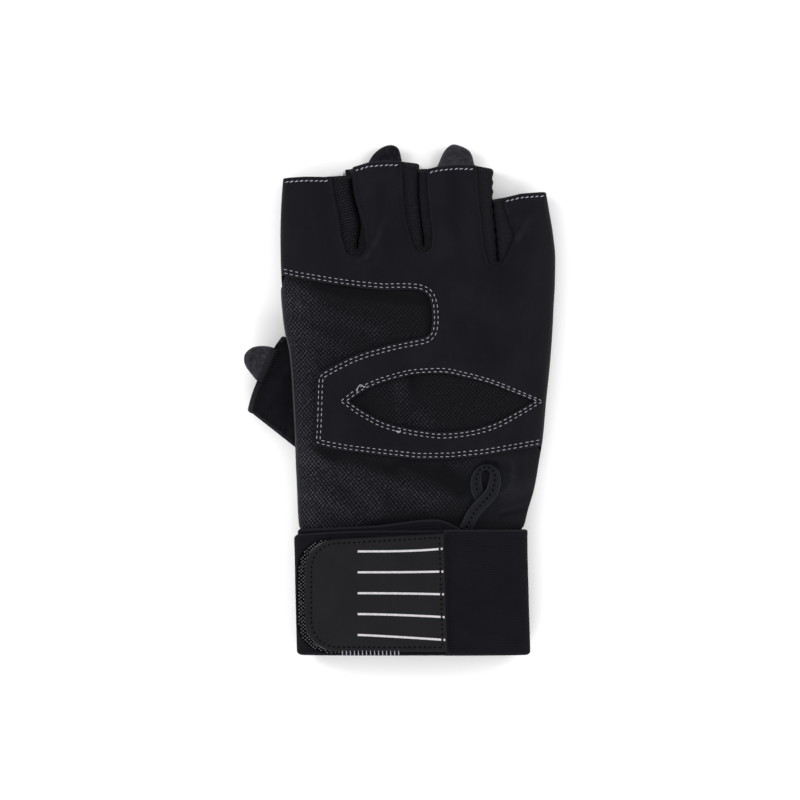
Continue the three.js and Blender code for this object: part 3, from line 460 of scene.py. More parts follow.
def relief_at(x, along):
    """Height of the folds and creases, less the valleys that run up to the finger gaps."""
    relief = ridge(x, along, FOLDS) + ridge(x, along, CREASES)
    for name, crotch, rows, left_at, right_at, fold_at in gap_curves:
        left = left_at(along) * HALF
        right = right_at(along) * HALF
        open_share = smoothstep(along, crotch - 0.05, crotch + 0.02)
        away = np.maximum(0, np.abs(x - (left + right) / 2) - open_share * (right - left) / 2)
        strength = smoothstep(along, crotch - 0.09, crotch)
        relief = relief - VALLEY_DEPTH * strength * bell(away, 0, VALLEY_REACH)
    return relief


def front_span(along, offset):
    """Middle and half width of the front, at an offset outwards from the mesh's face."""
    left = body_left(along) * HALF + LEATHER_STEP * leather_cover(along, -1)
    right = body_right(along) * HALF - LEATHER_STEP * leather_cover(along, 1)
    return (left + right) / 2, (right - left) / 2 + offset


def front_height(x, along, offset, seam_gap=PLY_GAP / 2):
    """Height of the front at a plan point. seam_gap is how far it ends above the seam."""
    middle, half = front_span(along, offset)
    across = np.clip((x - middle) / half, -1, 1)
    seam = seam_at(along, across) + seam_gap
    top = body_crown(along) * PALM_HEIGHT + offset + relief_at(x, along)
    return seam + (top - seam) * (1 - np.abs(across) ** FRONT_ROUNDING) ** (1 / FRONT_ROUNDING)


def front_point(along, side, offset, seam_gap=PLY_GAP / 2):
    """Points of the front. side runs from -1 to 1 round the section, offset is outwards."""
    middle, half = front_span(along, offset)
    x = middle + half * np.sin(side * math.pi / 2)
    return np.stack([x, along * HAND_LENGTH + 0 * x, front_height(x, along, offset, seam_gap)], -1)


def back_point(along, side, offset, seam_gap=PLY_GAP / 2):
    """Points of the back, like those of the front."""
    left = body_left(along) * HALF
    right = body_right(along) * HALF
    half = (right - left) / 2 + offset
    across = np.sin(side * math.pi / 2)
    foot = foot_at(along) - offset
    seam = seam_at(along, across) - seam_gap
    turn = np.clip((np.abs(across) * half - (half - BACK_ROUND)) / BACK_ROUND, 0, 1)
    height = foot + (seam - foot) * (1 - np.sqrt(1 - turn * turn))
    x = (left + right) / 2 + half * across
    return np.stack([x, along * HAND_LENGTH + 0 * x, height], -1)


# Plan outlines

def resample(points, pitch):
    """The same polyline with points a pitch apart, its corners kept only to within a pitch."""
    points = np.asarray(points, float)
    run = np.r_[0, np.cumsum(np.hypot(*np.diff(points, axis=0).T))]
    count = max(2, int(round(run[-1] / pitch)) + 1)
    at = np.linspace(0, run[-1], count)
    return np.stack([np.interp(at, run, points[:, 0]), np.interp(at, run, points[:, 1])], -1)


def closed_line(loop):
    """A loop with its first point once more at its end."""
    return np.r_[loop, loop[:1]]


def smooth_line(points, rounds=3):
    """A polyline with its corners rounded off, its ends kept."""
    points = np.asarray(points, float)
    for _ in range(rounds):
        points = np.r_[points[:1], (points[:-2] + 2 * points[1:-1] + points[2:]) / 4, points[-1:]]
    return points


def sideways_of(points, closed=False):
    """Unit vectors to the left of a polyline's way."""
    if closed:
        run = np.roll(points, -1, 0) - np.roll(points, 1, 0)
    else:
        run = np.gradient(points, axis=0)
    run = run / np.maximum(np.hypot(run[:, 0], run[:, 1]), 1e-9)[:, None]
    return np.stack([-run[:, 1], run[:, 0]], -1)


def distance_to(points, lines):
    """Least distance from each point to a list of polylines."""
    points = np.asarray(points, float)
    best = np.full(len(points), 1e9)
    for line in lines:
        a = line[:-1]
        d = line[1:] - a
        length2 = np.maximum((d * d).sum(1), 1e-12)
        for start in range(0, len(points), 4000):
            p = points[start:start + 4000, None, :] - a[None]
            t = np.clip((p * d).sum(2) / length2, 0, 1)
            away = np.sqrt(((p - t[..., None] * d) ** 2).sum(2)).min(1)
            best[start:start + 4000] = np.minimum(best[start:start + 4000], away)
    return best


def inside(points, loop):
    """Whether each point lies inside a closed loop."""
    x, y = points[:, 0][:, None], points[:, 1][:, None]
    a, b = loop, np.roll(loop, -1, 0)
    crosses = (a[:, 1] > y) != (b[:, 1] > y)
    rise = np.where(np.abs(b[:, 1] - a[:, 1]) < 1e-12, 1e-12, b[:, 1] - a[:, 1])
    at = a[:, 0] + (y - a[:, 1]) * (b[:, 0] - a[:, 0]) / rise
    return (crosses & (x < at)).sum(1) % 2 == 1


def offset_line(line, away):
    """A line beside another, to the left for a positive distance, cleaned at inner corners."""
    line = resample(line, 0.4)
    moved = line + sideways_of(line) * away
    keep = distance_to(moved, [line]) > abs(away) * 0.985
    return moved[keep]


END_X, END_Y = plan_of(END_ROWS).T


def end_at(x):
    """How far along the glove the fingers end."""
    return np.interp(x, END_X, END_Y)


def corner_of(side_at, guess=0.97):
    """Where a gap's side line meets the finger's open end, as a share of the length."""
    along = guess
    for _ in range(30):
        along = float(end_at(side_at(along) * HALF)) / HAND_LENGTH
    return along


def beside(curve, away):
    """A table's curve, moved sideways."""
    return lambda along: curve(along) + away


def gap_line(sides, first, bottom, tops, legs=40, arc=22):
    """The line round a gap: down one finger, round the crotch and up the other."""
    left_at, right_at = sides
    left_leg = np.linspace(tops[0], first, legs)
    right_leg = np.linspace(first, tops[1], legs)
    left, right = left_at(first), right_at(first)
    angle = np.linspace(0, math.pi, arc)[1:-1]
    across = (left + right) / 2 - np.cos(angle) * (right - left) / 2
    x = np.r_[left_at(left_leg), across, right_at(right_leg)] * HALF
    y = np.r_[left_leg, first + (bottom - first) * np.sin(angle), right_leg] * HAND_LENGTH
    return np.stack([x, y], -1)


def finger_gaps():
    """Each gap's name, leather line and slit line."""
    gaps = []
    for name, crotch, rows, left_at, right_at, fold_at in gap_curves:
        first = rows[0][0]
        tops = (corner_of(left_at), corner_of(right_at))
        line = gap_line((left_at, right_at), first, crotch, tops)
        slit = SLIT_WIDTH / 2
        fold_sides = [beside(fold_at, way * slit / HALF) for way in (-1, 1)]
        fold_tops = [corner_of(beside(fold_at, way * 1.5 * slit / HALF)) for way in (-1, 1)]
        fold = gap_line(fold_sides, first, first - slit / HAND_LENGTH, fold_tops)
        gaps.append((name, line, fold))
    return gaps


gaps = finger_gaps()


def end_pieces(lines):
    """The open edge of each finger, between the lines of the gaps beside it, from left to right."""
    starts = [None] + [line[-1] for line in lines]
    stops = [line[0] for line in lines] + [None]
    pieces = []
    for start, stop in zip(starts, stops):
        low = -1.3 * HALF if start is None else start[0]
        high = 1.3 * HALF if stop is None else stop[0]
        x = np.r_[low, END_X[(END_X > low) & (END_X < high)], high]
        pieces.append(np.stack([x, end_at(x)], -1))
    return pieces


def body_sides(y):
    along = y / HAND_LENGTH
    return body_left(along) * HALF, body_right(along) * HALF


def fingers_outline(lines, bottom):
    """One closed outline of a sheet with finger gaps. bottom runs from the right side to the left."""
    parts = []
    for piece, line in zip(end_pieces(lines), [*lines, bottom]):
        parts += [resample(piece, 0.6), line]
    return np.concatenate(parts)


leather_edge = smooth_line(resample(plan_of(LEATHER_EDGE), 0.6), 6)


def eye_line(grow_length=0.0, grow_height=0.0, count=120):
    """The eye's outline, or a larger one like it for the sewing round it."""
    upper, lower = curves(EYE_ROWS)
    at = np.linspace(-1, 1, count)
    x = EYE_MIDDLE[0] + at * (EYE_LENGTH / 2 + grow_length)
    height = EYE_HEIGHT + grow_height
    top = np.stack([x, EYE_MIDDLE[1] + upper(at) * height], -1)
    low = np.stack([x, EYE_MIDDLE[1] - lower(at) * height], -1)
    return top, low


# The domain of the front: u runs round the section and v along the glove, both in millimetres.
TURN_LENGTH = HALF * math.pi / 2


def to_front(points, offset=LEATHER_STEP / 2):
    """Plan points in the front's own coordinates."""
    along = points[:, 1] / HAND_LENGTH
    middle, half = front_span(along, offset)
    side = np.arcsin(np.clip((points[:, 0] - middle) / half, -1, 1)) * 2 / math.pi
    return np.stack([side * TURN_LENGTH, points[:, 1]], -1)


def from_front(domain, offset, seam_gap=PLY_GAP / 2):
    return front_point(domain[:, 1] / HAND_LENGTH, domain[:, 0] / TURN_LENGTH, offset, seam_gap)


def to_back(points):
    left, right = body_sides(points[:, 1])
    half = (right - left) / 2 - BACK_WALL / 2
    side = np.arcsin(np.clip((points[:, 0] - (left + right) / 2) / half, -1, 1)) * 2 / math.pi
    return np.stack([side * TURN_LENGTH, points[:, 1]], -1)


def from_back(domain, offset):
    return back_point(domain[:, 1] / HAND_LENGTH, domain[:, 0] / TURN_LENGTH, offset)


# Mesh making

# From the plan's own axes to the frame's, in millimetres
flap_low, flap_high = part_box("strap_flap")
SHIFT = np.array([flap_high.x * 1000 - FLAP_RIGHT, flap_low.y * 1000 - FLAP_LOW, 0.0])


def make_object(name, points, faces, cloth=None):
    """A mesh object from points in millimetres. cloth is the fabric's own coordinates at each point."""
    mesh = bpy.data.meshes.new(name)
    metres = (np.asarray(points, float) + SHIFT) / 1000
    mesh.from_pydata(metres.tolist(), [], [tuple(int(i) for i in face) for face in faces])
    mesh.validate()
    mesh.polygons.foreach_set("use_smooth", np.ones(len(mesh.polygons), bool))
    data = np.zeros((len(points), 3), np.float32)
    if cloth is not None:
        cloth = np.asarray(cloth, np.float32)
        data[:, :cloth.shape[1]] = cloth
    attribute = mesh.attributes.new("cloth", "FLOAT_VECTOR", "POINT")
    attribute.data.foreach_set("vector", data.ravel())
    made = bpy.data.objects.new(name, mesh)
    bpy.context.scene.collection.objects.link(made)
    return made


EDGE_ANGLES = (0, 0.45, 0.95, 1.5)  # of the rows of points over a rounded edge
GRID_ROWS = 0.866  # between the rows of a triangle grid, as a share of its pitch


def rounding(distance, radius):
    """Share of the half wall at a distance from an edge: 0 at the edge, 1 from the radius on."""
    t = 1 - np.clip(distance / radius, 0, 1)
    return np.sqrt(np.maximum(0, 1 - t * t))


def drop_unused(faces, count):
    """The points that faces use, and the faces counted in those."""
    used = np.unique(faces)
    new = np.full(count, -1)
    new[used] = np.arange(len(used))
    return used, new[faces]


def within(points, loops):
    """Whether points lie inside the first loop and outside the others."""
    good = inside(points, loops[0])
    for hole in loops[1:]:
        good &= ~inside(points, hole)
    return good


def loop_edges(loops):
    """Index pairs of the edges of loops whose points are listed one loop after the other."""
    edges = []
    start = 0
    for loop in loops:
        edges += [(start + i, start + (i + 1) % len(loop)) for i in range(len(loop))]
        start += len(loop)
    return edges


def sheet_points(loops, closed, pitch, steps, extra):
    """Points of a flat sheet: its loops, rows of points beside them, extra ones and a grid."""
    def kept(points, least):
        points = points[within(points, loops)]
        return points[distance_to(points, closed) > least]

    points = [*loops]
    for loop in loops:
        way = sideways_of(loop, closed=True)
        points += [kept(loop + way * step * sign, step * 0.93) for step in steps for sign in (1, -1)]
    points += [kept(more, steps[2] * 1.2) for more in extra]
    low, high = loops[0].min(0), loops[0].max(0)
    columns = np.arange(low[0], high[0], pitch)
    lines = np.arange(low[1], high[1], pitch * GRID_ROWS)
    grid = np.array([(x + (j % 2) * pitch / 2, y) for j, y in enumerate(lines) for x in columns])
    return np.concatenate(points + [kept(grid, max([pitch * 0.6] + steps))])


def triangulate(points, loops):
    """Triangles between the loops, all turned one way, and the points that they use."""
    out = geometry.delaunay_2d_cdt([Vector(p) for p in points], loop_edges(loops), [], 0, 1e-4)
    points = np.array([tuple(p) for p in out[0]])
    triangles = np.array([face for face in out[2] if len(face) == 3])
    triangles = triangles[within(points[triangles].mean(1), loops)]
    used, triangles = drop_unused(triangles, len(points))
    points = points[used]
    a, b, c = (points[triangles[:, i]] for i in range(3))
    turn = (b[:, 0] - a[:, 0]) * (c[:, 1] - a[:, 1]) - (b[:, 1] - a[:, 1]) * (c[:, 0] - a[:, 0])
    return points, np.where((turn < 0)[:, None], triangles[:, ::-1], triangles)


def cut_sheet(name, loops, place, pitch, radius=EDGE_ROUND, rows=(), extra=(), highlight_at=None):
    """A closed sheet with rounded edges, cut to loops in a surface's own coordinates.

    place(domain, depth) gives the points at a depth of 0 to 1 through the wall, and rows are distances
    from the edge that get lines of points of their own. extra are more points. The cloth's third
    coordinate is the distance from the edge, and it rises to the top of its range where the function
    given last says 1, which marks a painted highlight.
    """
    loops = [resample(closed_line(loop), min(pitch, 0.7))[:-1] for loop in loops]
    closed = [closed_line(loop) for loop in loops]
    steps = [radius * (1 - math.cos(angle)) for angle in EDGE_ANGLES[1:]] + list(rows)
    domain, triangles = triangulate(sheet_points(loops, closed, pitch, steps, extra), loops)
    away = distance_to(domain, closed)
    share = rounding(away, radius)
    top = place(domain, 0.5 + 0.5 * share)
    under = place(domain, 0.5 - 0.5 * share)
    rim = boundary_of(triangles, len(domain))
    below = np.arange(len(domain)) + len(domain)
    below[rim] = rim
    crease_highlight = highlight_at(domain) if highlight_at else 0 * away
    cloth = np.c_[domain, np.minimum(away, CREASE_LIGHT_FROM) * (1 - crease_highlight) + CREASE_LIGHT_AT * crease_highlight]
    faces = np.r_[triangles, below[triangles][:, ::-1]]
    points = np.r_[top, under]
    points[rim] = (top[rim] + under[rim]) / 2
    return tidy_object(name, points, faces, np.r_[cloth, cloth])


def boundary_of(triangles, count):
    """Vertices on the open edges of a triangle list."""
    pairs = np.sort(np.r_[triangles[:, [0, 1]], triangles[:, [1, 2]], triangles[:, [2, 0]]], 1)
    code, times = np.unique(pairs[:, 0] * count + pairs[:, 1], return_counts=True)
    edge = code[times == 1]
    return np.unique(np.r_[edge // count, edge % count])


def tidy_object(name, points, faces, cloth):
    """make_object() without the points that no face uses."""
    used, faces = drop_unused(faces, len(points))
    return make_object(name, points[used], faces, cloth[used])


def eased(low, high, count, radius):
    """Values from low to high, with close steps near both ends for a round edge."""
    near = [radius * (1 - math.cos(angle)) for angle in EDGE_ANGLES]
    middle = np.linspace(low + near[-1], high - near[-1], count)[1:-1]
    return np.r_[low + np.array(near), middle, high - np.array(near[::-1])]


def strip(name, first, second, place, radius=EDGE_ROUND, cloth_of=None):
    """A closed sheet with rounded edges over a grid of first by second, both in millimetres.

    place(a, b, depth) gives points at a depth of 0 to 1 through the wall. cloth_of(top, b) gives the
    cloth's coordinates where they aren't a, b and the distance from the edge.
    """
    a, b = np.meshgrid(first, second, indexing="ij")
    away = np.minimum(np.minimum(a - first[0], first[-1] - a), np.minimum(b - second[0], second[-1] - b))
    share = rounding(away, radius)
    top = place(a, b, 0.5 + 0.5 * share)
    under = place(a, b, 0.5 - 0.5 * share)
    rows, columns = a.shape
    index = np.arange(rows * columns).reshape(rows, columns)
    edge = np.zeros((rows, columns), bool)
    edge[[0, -1], :] = True
    edge[:, [0, -1]] = True
    below = np.where(edge, index, index + rows * columns)

    def quads(grid):
        return np.stack([grid[:-1, :-1], grid[1:, :-1], grid[1:, 1:], grid[:-1, 1:]], -1).reshape(-1, 4)

    faces = np.r_[quads(index), quads(below)[:, ::-1]]
    points = np.r_[top.reshape(-1, 3), under.reshape(-1, 3)]
    cloth = cloth_of(top, b) if cloth_of else np.stack([a, b, away], -1)
    cloth = cloth.reshape(-1, 3)
    return tidy_object(name, points, faces, np.r_[cloth, cloth])


def run_over(points, axis):
    """Lengths over a grid of points along one of its axes, from its middle."""
    steps = np.linalg.norm(np.diff(points, axis=axis), axis=-1)
    run = np.insert(np.cumsum(steps, axis=axis), 0, 0, axis=axis)
    return run - np.take(run, [run.shape[axis] // 2], axis=axis)


def join_meshes(name, *parts):
    """One object from parts of points, faces and cloth."""
    points, faces, cloth = [], [], []
    start = 0
    for part_points, part_faces, part_cloth in parts:
        points.append(part_points)
        cloth.append(part_cloth)
        faces += [[i + start for i in face] for face in part_faces]
        start += len(part_points)
    return make_object(name, np.concatenate(points), faces, np.concatenate(cloth))


def surface_normal(height, x, y, step=0.05):
    """The unit normal of a height field at plan points."""
    dx = (height(x + step, y) - height(x - step, y)) / (2 * step)
    dy = (height(x, y + step) - height(x, y - step)) / (2 * step)
    normal = np.stack([-dx, -dy, np.ones_like(dx)], -1)
    return normal / np.linalg.norm(normal, axis=-1, keepdims=True)


def ring_faces(rings, sides):
    """Faces of a tube made of rings of points, with both ends filled."""
    faces = []
    for j in range(rings - 1):
        for i in range(sides):
            a, b = j * sides + i, j * sides + (i + 1) % sides
            faces.append((a, a + sides, b + sides, b))
    faces.append(tuple(range(sides)))
    faces.append(tuple(range((rings - 1) * sides, rings * sides))[::-1])
    return faces


def stitch_form(rings=6, sides=7):
    """Points along (-1 to 1), sideways and up of one stitch, its faces and the angle round it."""
    at = np.sin(np.linspace(-1, 1, rings) * math.pi / 2)
    angle = np.arange(sides) * 2 * math.pi / sides
    width = np.maximum(np.sqrt(np.maximum(0, 1 - np.abs(at) ** 3.2)), 0.12)
    along = np.repeat(at, sides)
    sideways = (width[:, None] * np.cos(angle)).ravel()
    up = (width[:, None] * np.sin(angle)).ravel()
    return along, sideways, up, ring_faces(rings, sides), np.tile(angle, rings)


def unit_of(vectors):
    return vectors / np.maximum(np.linalg.norm(vectors, axis=-1, keepdims=True), 1e-9)


def stitches(starts, ends, normals, thread=THREAD, rise=STITCH_RISE):
    """A mesh part with one stitch from each start to its end. thread is half the thread's width."""
    along, sideways, up, faces, angle = stitch_form()
    starts, ends = np.asarray(starts), np.asarray(ends)
    way = (ends - starts) / 2
    unit = unit_of(way)
    normals = unit_of(normals - unit * (normals * unit).sum(1, keepdims=True))
    aside = np.cross(normals, unit)
    lift = rise * (1 - along ** 2) - STITCH_DIP + 0.85 * thread * up
    points = (
        ((starts + ends) / 2)[:, None]
        + along[None, :, None] * way[:, None]
        + (thread * sideways)[None, :, None] * aside[:, None]
        + lift[None, :, None] * normals[:, None]
    )
    size = np.linalg.norm(way, axis=1)[:, None]
    cloth = np.stack(np.broadcast_arrays(along * size, thread * angle, 0.0), -1)
    count = len(along)
    all_faces = [[i + k * count for i in face] for k in range(len(starts)) for face in faces]
    return points.reshape(-1, 3), all_faces, cloth.reshape(-1, 3)


# How uneven sewing is: a stitch's place as a share of the pitch, its length and its slant.
PLACE_SPREAD = 0.03
LENGTH_SPREAD = 0.06
SLANT_SPREAD = 0.05


def sew(lines, height, pitch, length, thread=THREAD, rise=STITCH_RISE, slant=0.0, seed=1):
    """Stitches along plan lines that lie on a height field, as one mesh part."""
    random = np.random.default_rng(seed)
    starts, ends = [], []
    for line in lines:
        run = np.r_[0, np.cumsum(np.hypot(*np.diff(line, axis=0).T))]
        count = int(run[-1] // pitch)
        for k in range(count):
            middle = (k + 0.5) * run[-1] / count + pitch * random.normal(0, PLACE_SPREAD)
            half = length / 2 * (1 + random.normal(0, LENGTH_SPREAD))
            at = middle - half, middle + half
            start, end = np.stack([np.interp(at, run, line[:, i]) for i in (0, 1)], -1)
            dx, dy = (end - start) / 2 * (slant + random.normal(0, SLANT_SPREAD))
            starts.append(start - (-dy, dx))
            ends.append(end + (-dy, dx))
    starts, ends = np.array(starts), np.array(ends)
    normals = surface_normal(height, *((starts + ends) / 2).T)
    starts = np.c_[starts, height(*starts.T)]
    ends = np.c_[ends, height(*ends.T)]
    return stitches(starts, ends, normals, thread, rise)


def strand(path, up, width, height, sides=10):
    """A mesh part: a round strand along a path. width and height are half its own."""
    path = np.asarray(path, float)
    unit = unit_of(np.gradient(path, axis=0))
    aside = unit_of(np.cross(np.broadcast_to(up, path.shape), unit))
    normal = np.cross(unit, aside)
    angle = np.arange(sides) * 2 * math.pi / sides
    share = np.linspace(-1, 1, len(path))
    closing = np.maximum(np.sqrt(1 - np.abs(share) ** 30), 0.15)[:, None, None]
    ring = width * np.cos(angle)[:, None] * aside[:, None]
    ring = ring + height * np.sin(angle)[:, None] * normal[:, None]
    points = (path[:, None] + closing * ring).reshape(-1, 3)
    run = np.r_[0, np.cumsum(np.linalg.norm(np.diff(path, axis=0), axis=1))]
    cloth = np.stack(np.broadcast_arrays(run[:, None], width * angle, 0.0), -1).reshape(-1, 3)
    return points, ring_faces(len(path), sides), cloth


# Leather and mesh

def within_body(line):
    left, right = body_sides(line[:, 1])
    return line[(line[:, 0] > left + SEAM_MARGIN) & (line[:, 0] < right - SEAM_MARGIN)]


def hem_line(edge):
    """The line of sewing below one finger's open edge."""
    edge = resample(edge, 0.4)
    line = edge - np.array([0, HEM_INSET])
    left, right = body_sides(line[:, 1])
    start = max(left[0], edge[0, 0]) + HEM_START
    stop = min(right[-1], edge[-1, 0]) - HEM_STOP
    return line[(line[:, 0] > start) & (line[:, 0] < stop)]


gap_lines = [line for name, line, fold in gaps]
hem_lines = [hem_line(edge) for edge in end_pieces(gap_lines)]
seam_insets = (SEAM_INSET, SEAM_INSET + SEAM_SPLIT)
seam_lines = [within_body(offset_line(leather_edge, inset)) for inset in seam_insets]
seam_lines += [line for grow in EYE_SEAMS for line in eye_line(*grow)]
coarse_seams = [resample(line, 1.2) for line in seam_lines + hem_lines]
coarse_gaps = [resample(line, 1.2) for line in gap_lines]
coarse_rims = [resample(line, 1.2) for line in (leather_edge, *eye_line())]

GAP_ROLL = 0.22  # height of the roll where the leather turns in at a finger gap
RIM_DROP = 0.1  # how far the leather's cut edge is pressed down


def leather_relief(x, y):
    """Ridges of the turned edges and furrows of the sewing, on the leather's face."""
    plan = np.stack([x, y], -1).reshape(-1, 2)
    turned = distance_to(plan, coarse_gaps)
    relief = -SEWN_DEPTH * bell(distance_to(plan, coarse_seams), 0, 0.5)
    relief += GAP_ROLL * (bell(turned, 0.8, 0.5) - bell(turned, 1.9, 0.45))
    relief -= RIM_DROP * bell(distance_to(plan, coarse_rims), 0, 0.7)
    return relief.reshape(np.shape(x))


def sewn_leather(x, y):
    """The leather's face along its sewing."""
    return front_height(x, y / HAND_LENGTH, LEATHER_STEP) - SEWN_DEPTH


def mesh_top(x, y):
    return front_height(x, y / HAND_LENGTH, 0)


def crease_highlight_at(domain):
    """How much painted highlight the ridges of the leather's creases get at the fingers, from 0 to 1."""
    x, y = from_front(domain, 0)[:, :2].T
    raised = ridge(x, y / HAND_LENGTH, CREASES)
    return np.clip(raised / CREASE_LIGHT_HEIGHT, 0, 1) * smoothstep(y / HAND_LENGTH, 0.75, 0.78)


def rows_beside(lines, away=0.6):
    """The lines with one more on each side of them."""
    return [line + sideways_of(line) * way * away for line in lines for way in (-1, 0, 1)]


def make_leather():
    outline = fingers_outline(gap_lines, leather_edge[::-1])
    top, low = eye_line()
    eye = np.r_[top, low[::-1][1:-1]]

    def place(domain, depth):
        points = from_front(domain, PLY_GAP + LEATHER_WALL * depth)
        points[:, 2] += leather_relief(points[:, 0], points[:, 1])
        return points

    sewn = rows_beside([resample(line, 0.8) for line in seam_lines + hem_lines])
    return cut_sheet(
        "leather_overlay",
        [to_front(outline), to_front(eye)],
        place,
        1.0,
        rows=(0.9, 1.3, 1.8, 2.4, 3.0, 3.6),
        extra=[to_front(line) for line in sewn],
        highlight_at=crease_highlight_at,
    )


LOWEST_GAP = min(crotch for name, crotch, rows in GAPS) * HAND_LENGTH
MESH_END = LOWEST_GAP - GUSSET_LAP - GUSSET_WALL - 2 * PLY_GAP


def mesh_light_and_shade(x, along):
    """Painted light and shade on the mesh's yarn: highlights where the thumb's side and the lower palm
    slope towards the lamps, highlights on the folds' ridges and shade in their furrows, and the painted
    shade of SHADES.
    """
    # Painted highlights where the thumb's side and the lower palm slope towards the lamps.
    thumb_side_light = bell(x, body_left(along) * HALF, 11)
    wrist_light = 1 - smoothstep(along, 0.4, 0.48)
    # Painted highlights on the folds' ridges and painted shade in their furrows.
    folds = ridge(x, along, FOLDS) + ridge(x, along, CREASES)
    shaded_tone = 0.12 + 0.3 * thumb_side_light + 0.05 * wrist_light + 0.13 * np.clip(folds, -0.8, 1.2)
    return np.maximum(0.04, shaded_tone + ridge(x, along, SHADES))


def make_palm_mesh():
    def place(u, v, depth):
        points = from_front(np.stack([u, v], -1).reshape(-1, 2), -MESH_WALL * (1 - depth).ravel())
        return points.reshape(*u.shape, 3)

    def cloth_of(top, v):
        return np.stack([run_over(top, 0), v, mesh_light_and_shade(top[..., 0], top[..., 1] / HAND_LENGTH)], -1)

    across = eased(-TURN_LENGTH, TURN_LENGTH, 230, EDGE_ROUND)
    along = eased(CUFF_EDGE * HAND_LENGTH, MESH_END, 190, EDGE_ROUND)
    return strip("mesh_layer", across, along, place, cloth_of=cloth_of)


# Thumb

OUTWARD = np.array([-math.cos(THUMB_TURN), math.sin(THUMB_TURN)])
ACROSS = np.array([OUTWARD[1], -OUTWARD[0]])


def thumb_local(x, y):
    """Distances out from the sleeve's open end and across it."""
    rel_x, rel_y = x - THUMB_END[0], y - THUMB_END[1]
    return rel_x * OUTWARD[0] + rel_y * OUTWARD[1], rel_x * ACROSS[0] + rel_y * ACROSS[1]


def thumb_sag(share):
    """How far the sleeve's top sinks at a share of its half width."""
    return THUMB_SAG * np.maximum(0, 1 - share ** 2) ** 2


# Folds across the sleeve: distance in from its end, sway, reach and height.
THUMB_FOLDS = [(9, 3, 1.8, 0.35), (15, -4, 2.2, -0.3), (21, 5, 2.0, 0.25)]
PUCKER_HEIGHT = 0.7
PUCKER_REACH = 0.17  # round the sleeve, in radians


def thumb_folds(out, turn):
    """Soft folds of the thumb's sleeve, in millimetres outwards."""
    pucker = np.sin(out * 2.1 + 1.5 * np.sin(out * 0.8)) * smoothstep(-out, 3, 7)
    fold = PUCKER_HEIGHT * pucker * bell(turn, THUMB_PUCKER, PUCKER_REACH)
    for inward, sway, reach, height in THUMB_FOLDS:
        fold = fold + height * bell(out + sway * np.cos(turn), -inward, reach)
    return fold * np.clip(np.sin(turn), 0, 1)


def thumb_ring(out, turn, offset, width=1.0):
    """Points round the sleeve at a distance out from its end. turn 0 is on the finger side."""
    c, s = np.cos(turn), np.sin(turn)
    half = (THUMB_WIDTH / 2 - np.minimum(out, 0) * math.tan(THUMB_FLARE) + offset) * width
    share = np.sign(c) * np.abs(c) ** (2 / THUMB_ROUNDING)
    rise = np.sign(s) * np.abs(s) ** (2 / THUMB_ROUNDING)
    up = THUMB_HEIGHT / 2 + (THUMB_HEIGHT / 2 + offset) * rise
    up = up + thumb_folds(out, turn) - np.where(s > 0, thumb_sag(share), 0)
    bowed = out + THUMB_BOW * (1 - c * c)
    plan = np.array(THUMB_END) + (half * share)[:, None] * ACROSS + (bowed + 0 * c)[:, None] * OUTWARD
    return np.c_[plan, up]


def tube_faces(rings, sides):
    """Faces of a tube whose rings run the other way than those of ring_faces()."""
    faces = []
    for j in range(rings - 1):
        for i in range(sides):
            a, b = j * sides + i, j * sides + (i + 1) % sides
            faces.append((a, b, b + sides, a + sides))
    faces.append(tuple(range(sides))[::-1])
    faces.append(tuple(range((rings - 1) * sides, rings * sides)))
    return faces


THUMB_SIDES = 90  # faces round the sleeve
CAVITY = (0.31, 0.8)  # the part of the length where the sleeve opens into the palm


def thumb_tube(name, offset, open_by):
    """The sleeve's form, closed at both ends. open_by is how far it runs on past the open end."""
    straight = THUMB_LENGTH - THUMB_ROOT
    rounds = np.sin(np.linspace(0, 0.985, 14)[1:] * math.pi / 2)
    outs = [open_by] * (open_by > 0) + [*np.linspace(0, -straight, 72)]
    rings = [(out, 1.0) for out in outs]
    rings += [(-straight - share * (THUMB_ROOT + offset), math.sqrt(1 - share ** 2)) for share in rounds]
    turn = np.arange(THUMB_SIDES) * 2 * math.pi / THUMB_SIDES
    points = [thumb_ring(out, turn, offset, width) for out, width in rings]
    return make_object(name, np.concatenate(points), tube_faces(len(rings), THUMB_SIDES))


def body_cavity():
    """The room between the palm and the back, where the sleeve opens into it."""
    sides = np.linspace(-1, 1, 80)
    rings = []
    for along in np.linspace(*CAVITY, 50):
        low = back_point(along, sides, -BACK_WALL)
        high = front_point(along, sides[::-1], -MESH_WALL)
        rings.append(np.r_[low, high])
    return make_object("cavity", np.concatenate(rings), tube_faces(len(rings), len(rings[0])))


def face_outwards(made):
    edit = bmesh.new()
    edit.from_mesh(made.data)
    bmesh.ops.recalc_face_normals(edit, faces=edit.faces)
    edit.to_mesh(made.data)
    edit.free()


def cut_away(target, cutter):
    """Cuts one closed mesh out of another."""
    for piece in (target, cutter):
        face_outwards(piece)
    modifier = target.modifiers.new("cut", "BOOLEAN")
    modifier.operation = "DIFFERENCE"
    modifier.solver = "EXACT"
    modifier.object = cutter
    graph = bpy.context.evaluated_depsgraph_get()
    mesh = bpy.data.meshes.new_from_object(target.evaluated_get(graph))
    target.modifiers.clear()
    target.data = mesh
    bpy.data.objects.remove(cutter)


